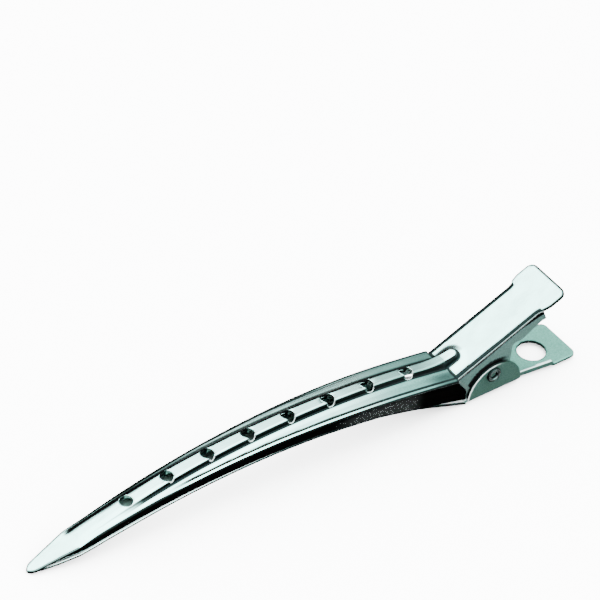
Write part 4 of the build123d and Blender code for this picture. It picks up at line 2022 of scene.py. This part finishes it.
@dataclass
class HingeRivet:
    """The tubular rivet, with a rolled head outside each ear."""

    pin_x: float = 32.05
    pin_z: float = 3.95
    profile: Rows = (
        # radius, distance from the middle plane
        (0.9, 3.8),
        (1.13, 3.8),
        (1.13, 4.0),
        (1.11, 4.09),
        (1.06, 4.16),
        (0.98, 4.21),
        (0.88, 4.22),
        (0.76, 4.21),
        (0.66, 4.16),
        (0.58, 4.08),
        (0.53, 3.96),
        (0.5, 3.8),
    )
    segments: int = 72
    dull: float = 0.4
    # painted shade: some over the whole rivet, more in the bore and round the rolled head
    shade: float = 0.35
    bore_shade: Fade = Fade(0.7, -0.12)
    rim_shade: Fade = Fade(0.95, 0.1)

    def build(self, finish: PlatedSteel) -> bpy.types.Object:
        """Build, dress and mount the rivet.

        Args:
            finish: The rivet's finish.

        Returns:
            The rivet.
        """
        mesh = bmesh.new()
        loop = list(self.profile) + [(r, -y) for r, y in reversed(self.profile)]
        rings = []
        for i in range(self.segments):
            turn = 2 * pi * i / self.segments
            places = [
                (self.pin_x + r * cos(turn), y, self.pin_z + r * sin(turn)) for r, y in loop
            ]
            rings.append([mesh.verts.new(Vector(place) * MM) for place in places])
        join_rings(mesh, rings)
        piece = finished("rivet", mesh)
        piece.data.materials.append(finish.material())
        paint(piece, self.skin)
        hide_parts("hinge_rivet")
        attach(piece, Body.LOWER.value)
        return piece

    def skin(self, x: float, y: float, z: float) -> Paint:
        """How dull the skin is, and its painted shade: some all over, more in the bore and round
        the rolled head.
        """
        reach = hypot(x - self.pin_x, z - self.pin_z)
        return self.dull, -max(self.shade, self.bore_shade.at(reach), self.rim_shade.at(reach))


@dataclass
class CoilSpring:
    """The torsion spring round the rivet, its wire swept along one path by geometry nodes."""

    pin_x: float = 32.05
    pin_z: float = 3.95
    wire_radius: float = 0.3
    wire_sides: int = 16
    coil_radius: float = 1.55
    pitch: float = 0.62
    turns: int = 6
    step: float = 9.0
    sharp: float = 40.0
    upper_end: tuple[float, float] = (38.0, 10.15)
    lower_end: tuple[float, float] = (39.6, 1.08)
    leg_start: float = 1.9
    leg_free: float = 4.8

    def wire_path(self) -> list[Point]:
        """Points along the wire, from the end under the lever to the end on the handle.

        Returns:
            The points.
        """
        headings = []
        for (x, z), side in ((self.upper_end, 1), (self.lower_end, -1)):
            run_x, run_z = x - self.pin_x, z - self.pin_z
            heading = atan2(run_z, run_x) - side * asin(self.coil_radius / hypot(run_x, run_z))
            headings.append(heading + side * pi / 2)
        start, end = headings
        sweep = 2 * pi * self.turns + ((end - start) % (2 * pi))
        width = self.pitch * sweep / (2 * pi)
        points: list[Point] = [(self.upper_end[0], -width / 2, self.upper_end[1])]
        steps = int(sweep / radians(self.step))
        for i in range(steps + 1):
            turn = start + sweep * i / steps
            x, z = self.coil_radius * cos(turn), self.coil_radius * sin(turn)
            points.append((self.pin_x + x, -width / 2 + width * i / steps, self.pin_z + z))
        points.append((self.lower_end[0], width / 2, self.lower_end[1]))
        return points

    def build(self, finish: SpringWire) -> bpy.types.Object:
        """Build and dress the spring.

        Args:
            finish: The spring's finish.

        Returns:
            The spring.
        """
        mesh = bmesh.new()
        verts = [mesh.verts.new(Vector(p) * MM) for p in self.wire_path()]
        for a, b in zip(verts, verts[1:]):
            mesh.edges.new((a, b))
        piece = finished("torsion_spring", mesh)
        piece.data.materials.append(finish.material())

        tree, start, end = new_geometry_tree("wire")
        radius = add_input(tree, "Wire radius", "NodeSocketFloat", 0.0)
        line = {"Mesh": start.outputs["Geometry"]}
        line = add_node(tree, "GeometryNodeMeshToCurve", line).outputs["Curve"]
        ring = {"Resolution": self.wire_sides, "Radius": start.outputs["Wire radius"]}
        ring = add_node(tree, "GeometryNodeCurvePrimitiveCircle", ring).outputs["Curve"]
        swept = {"Curve": line, "Profile Curve": ring, "Fill Caps": True}
        swept = add_node(tree, "GeometryNodeCurveToMesh", swept).outputs["Mesh"]
        finish_tree(tree, swept, end, piece)
        baked(piece, tree, {radius: self.wire_radius * MM})
        smooth(piece, self.sharp)
        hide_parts("coil_spring")
        start, end = (
            Vector((self.pin_x, 0.0, self.pin_z + height)) * MM
            for height in (self.leg_start, self.leg_free)
        )
        tuple(start)
        tuple(end)
        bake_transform(piece)
        return piece


@dataclass
class Studio:
    """The table, the soft light and the camera; the table and the panel are in metres."""

    azimuth: float = -45.66
    elevation: float = 40.04
    roll: float = 9.91
    centre: tuple[float, float] = (1.0145, 21.663)
    view_width: float = 82.26
    distance: float = 400.0
    table_size: float = 1.5
    table_colour: Tint = (0.93, 0.935, 0.935)
    table_roughness: float = 0.9
    mirror_strength: float = 9.6
    plain_strength: float = 12.0
    panel_watts: float = 12.0
    panel_size: float = 0.6
    panel_place: Point = (0.0, 0.1, 0.8)
    bright: Tint = (0.63, 1.0, 0.965)
    deep: Tint = (0.5, 1.0, 0.9)
    bright_from: float = 0.39
    viewer: tuple[tuple[str, float, float], ...] = (
        # axis, from where on and to where the dark region round the viewer fades in
        ("Y", -0.2, -0.4),
        ("X", -0.35, -0.1),
        ("Z", 0.2, 0.05),
    )
    sharp: tuple[tuple[str, float, float], ...] = (
        # axis, from where on and to where the room with the sharper edges fades in
        ("X", -0.45, -0.25),
        ("Y", -0.45, -0.2),
    )
    heights: Rows = (
        # height of the direction, brightness
        (-0.05, 0.0004),
        (0.1, 0.0023),
        (0.25, 0.006),
        (0.325, 0.015),
        (0.36, 0.023),
        (0.4, 0.038),
        (0.44, 0.076),
        (0.48, 0.135),
        (0.56, 0.265),
        (0.63, 0.37),
        (0.72, 0.5),
        (0.8, 0.66),
        (0.83, 0.9),
        (0.86, 1.0),
    )
    soft_heights: Rows = (
        # height of the direction, brightness, behind the camera and beside it
        (-0.05, 0.0004),
        (0.02, 0.02),
        (0.12, 0.1),
        (0.25, 0.22),
        (0.45, 0.33),
        (0.7, 0.48),
        (0.8, 0.66),
        (0.83, 0.9),
        (0.86, 1.0),
    )
    depths: Rows = (
        # how far the direction leans to +y, brightness
        (0.0, 1.0),
        (0.555, 1.0),
        (0.59, 0.55),
        (0.625, 0.33),
        (0.68, 0.12),
        (0.74, 0.04),
    )

    def axes(self) -> tuple[Vector, Vector, Vector]:
        """The camera's right, up and backward directions.

        Returns:
            The three directions.
        """
        turn, lift, roll = radians(self.azimuth), radians(self.elevation), radians(self.roll)
        back = Vector((sin(turn) * cos(lift), -cos(turn) * cos(lift), sin(lift)))
        flat = Vector((cos(turn), sin(turn), 0.0))
        upright = back.cross(flat)
        right = flat * cos(roll) + upright * sin(roll)
        return right, back.cross(right), back

    def camera(self) -> bpy.types.Object:
        """Build the camera at the photograph's angle.

        Returns:
            The camera.
        """
        right, up, back = self.axes()
        lens = bpy.data.cameras.new("camera")
        lens.type = "ORTHO"
        lens.ortho_scale = self.view_width * MM
        lens.clip_start = 0.01
        lens.clip_end = 5.0
        camera = bpy.data.objects.new("camera", lens)
        place = (right * self.centre[0] + up * self.centre[1] + back * self.distance) * MM
        turned = Matrix((right, up, back)).transposed().to_4x4()
        camera.matrix_world = Matrix.Translation(place) @ turned
        bpy.context.scene.collection.objects.link(camera)
        bpy.context.scene.camera = camera
        return camera

    def table(self) -> bpy.types.Object:
        """Build the pale table.

        Returns:
            The table.
        """
        mesh = bmesh.new()
        bmesh.ops.create_grid(mesh, x_segments=1, y_segments=1, size=self.table_size)
        table = finished("table", mesh)
        made, _, shader = new_material("table_paper")
        colour = (*self.table_colour, 1.0)
        feed(shader, {"Base Color": colour, "Roughness": self.table_roughness})
        feed(shader, {"Specular IOR Level": 0.0})
        table.data.materials.append(made)
        table.visible_glossy = False
        return table

    def ramp(
        self, tree: bpy.types.NodeTree, place: Socket, rows: Sequence[tuple[float, float]],
        tinted: bool = True,
    ) -> Socket:
        """Colour by how far the direction goes along an axis.

        Args:
            tree: The world's node tree.
            place: How far the direction goes along the axis.
            rows: Rows of (how far, brightness).
            tinted: Whether the colour runs from the deep to the bright tint.

        Returns:
            The socket that carries the colour.
        """
        node = add_node(tree, "ShaderNodeValToRGB", {"Fac": level(tree, place, 0.0, 1.0, -1.0)})
        stops = node.color_ramp.elements
        stops.remove(stops[-1])
        for i, (far, value) in enumerate(rows):
            share = min(1.0, value / self.bright_from) ** 0.5
            colour = (1.0, 1.0, 1.0)
            if tinted:
                colour = [d + (b - d) * share for d, b in zip(self.deep, self.bright)]
            stop = stops[0] if i == 0 else stops.new((far + 1) / 2)
            stop.position = (far + 1) / 2
            stop.color = (*(value * c for c in colour), 1.0)
        return node.outputs["Color"]

    def light(self) -> None:
        """Light the scene: a soft overhead panel, and a room that the metal mirrors."""
        panel = bpy.data.lights.new("softbox", "AREA")
        panel.shape = "SQUARE"
        panel.size = self.panel_size
        panel.energy = self.panel_watts
        box = bpy.data.objects.new("softbox", panel)
        box.location = self.panel_place
        box.visible_glossy = False
        bpy.context.scene.collection.objects.link(box)

        world = bpy.data.worlds.new("studio")
        bpy.context.scene.world = world
        world.use_nodes = True
        tree = world.node_tree
        tree.nodes.clear()
        place = add_node(tree, "ShaderNodeTexCoord", {}).outputs["Generated"]
        split = add_node(tree, "ShaderNodeSeparateXYZ", {"Vector": place}).outputs

        def combined(kind: str, a: object, b: object) -> Socket:
            """Two values multiplied or subtracted, as the kind says."""
            return add_node(tree, "ShaderNodeMath", {0: a, 1: b}, operation=kind).outputs["Value"]

        def scaled(colour: Socket, by: Socket) -> Socket:
            """Colour multiplied by a colour or a value."""
            inputs = {0: colour, 1: by}
            node = add_node(tree, "ShaderNodeVectorMath", inputs, operation="MULTIPLY")
            return node.outputs["Vector"]

        def region(rows: Sequence[tuple[str, float, float]]) -> Socket:
            """Share of a region of directions, by rows of (axis, where it starts, where it's full).

            Args:
                rows: The rows, whose shares are multiplied.

            Returns:
                The socket that carries the share.
            """
            shares = []
            for axis, start, end in rows:
                smoothed = level(tree, split[axis], 0.0, 1.0, start, end, "SMOOTHSTEP")
                shares.append(smoothed)
            whole = shares[0]
            for share in shares[1:]:
                whole = combined("MULTIPLY", whole, share)
            return whole

        high, deep = split["Z"], split["Y"]
        lit = self.ramp(tree, high, self.heights)
        lit = scaled(lit, self.ramp(tree, deep, self.depths, False))
        soft = self.ramp(tree, high, self.soft_heights)
        shown = combined("SUBTRACT", 1.0, region(self.viewer))
        room = scaled(mixed(tree, region(self.sharp), soft, lit), shown)
        mirror = {"Strength": self.mirror_strength, "Color": room}
        plain = {"Strength": self.plain_strength, "Color": (1.0, 1.0, 1.0, 1.0)}
        shaders = [
            add_node(tree, "ShaderNodeBackground", inputs).outputs["Background"]
            for inputs in (plain, mirror)
        ]
        rays = add_node(tree, "ShaderNodeLightPath", {}).outputs["Is Glossy Ray"]
        mix = add_node(tree, "ShaderNodeMixShader", {"Fac": rays, 1: shaders[0], 2: shaders[1]})
        add_node(tree, "ShaderNodeOutputWorld", {"Surface": mix.outputs["Shader"]})

    def build(self) -> None:
        """Build the whole studio."""
        self.table()
        self.light()
        self.camera()


def main() -> None:
    """Build the clip on its frame, then the studio round it."""
    logging.basicConfig(level=logging.INFO, format="%(message)s")
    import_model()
    for piece in (
        UpperJaw().build(PlatedSteel("polished_plate")),
        LowerJaw().build(
            PlatedSteel("satin_plate", dull=(0.115, 0.24, 0.2), dull_shade=(0.08, 0.18, 0.15))
        ),
        HingeRivet().build(PlatedSteel("rivet_plate")),
        CoilSpring().build(SpringWire()),
    ):
        LOG.info("%s: %d faces", piece.name, len(piece.data.polygons))
    Studio().build()
    LOG.info("studio built")


if __name__ == "__main__":
    main()
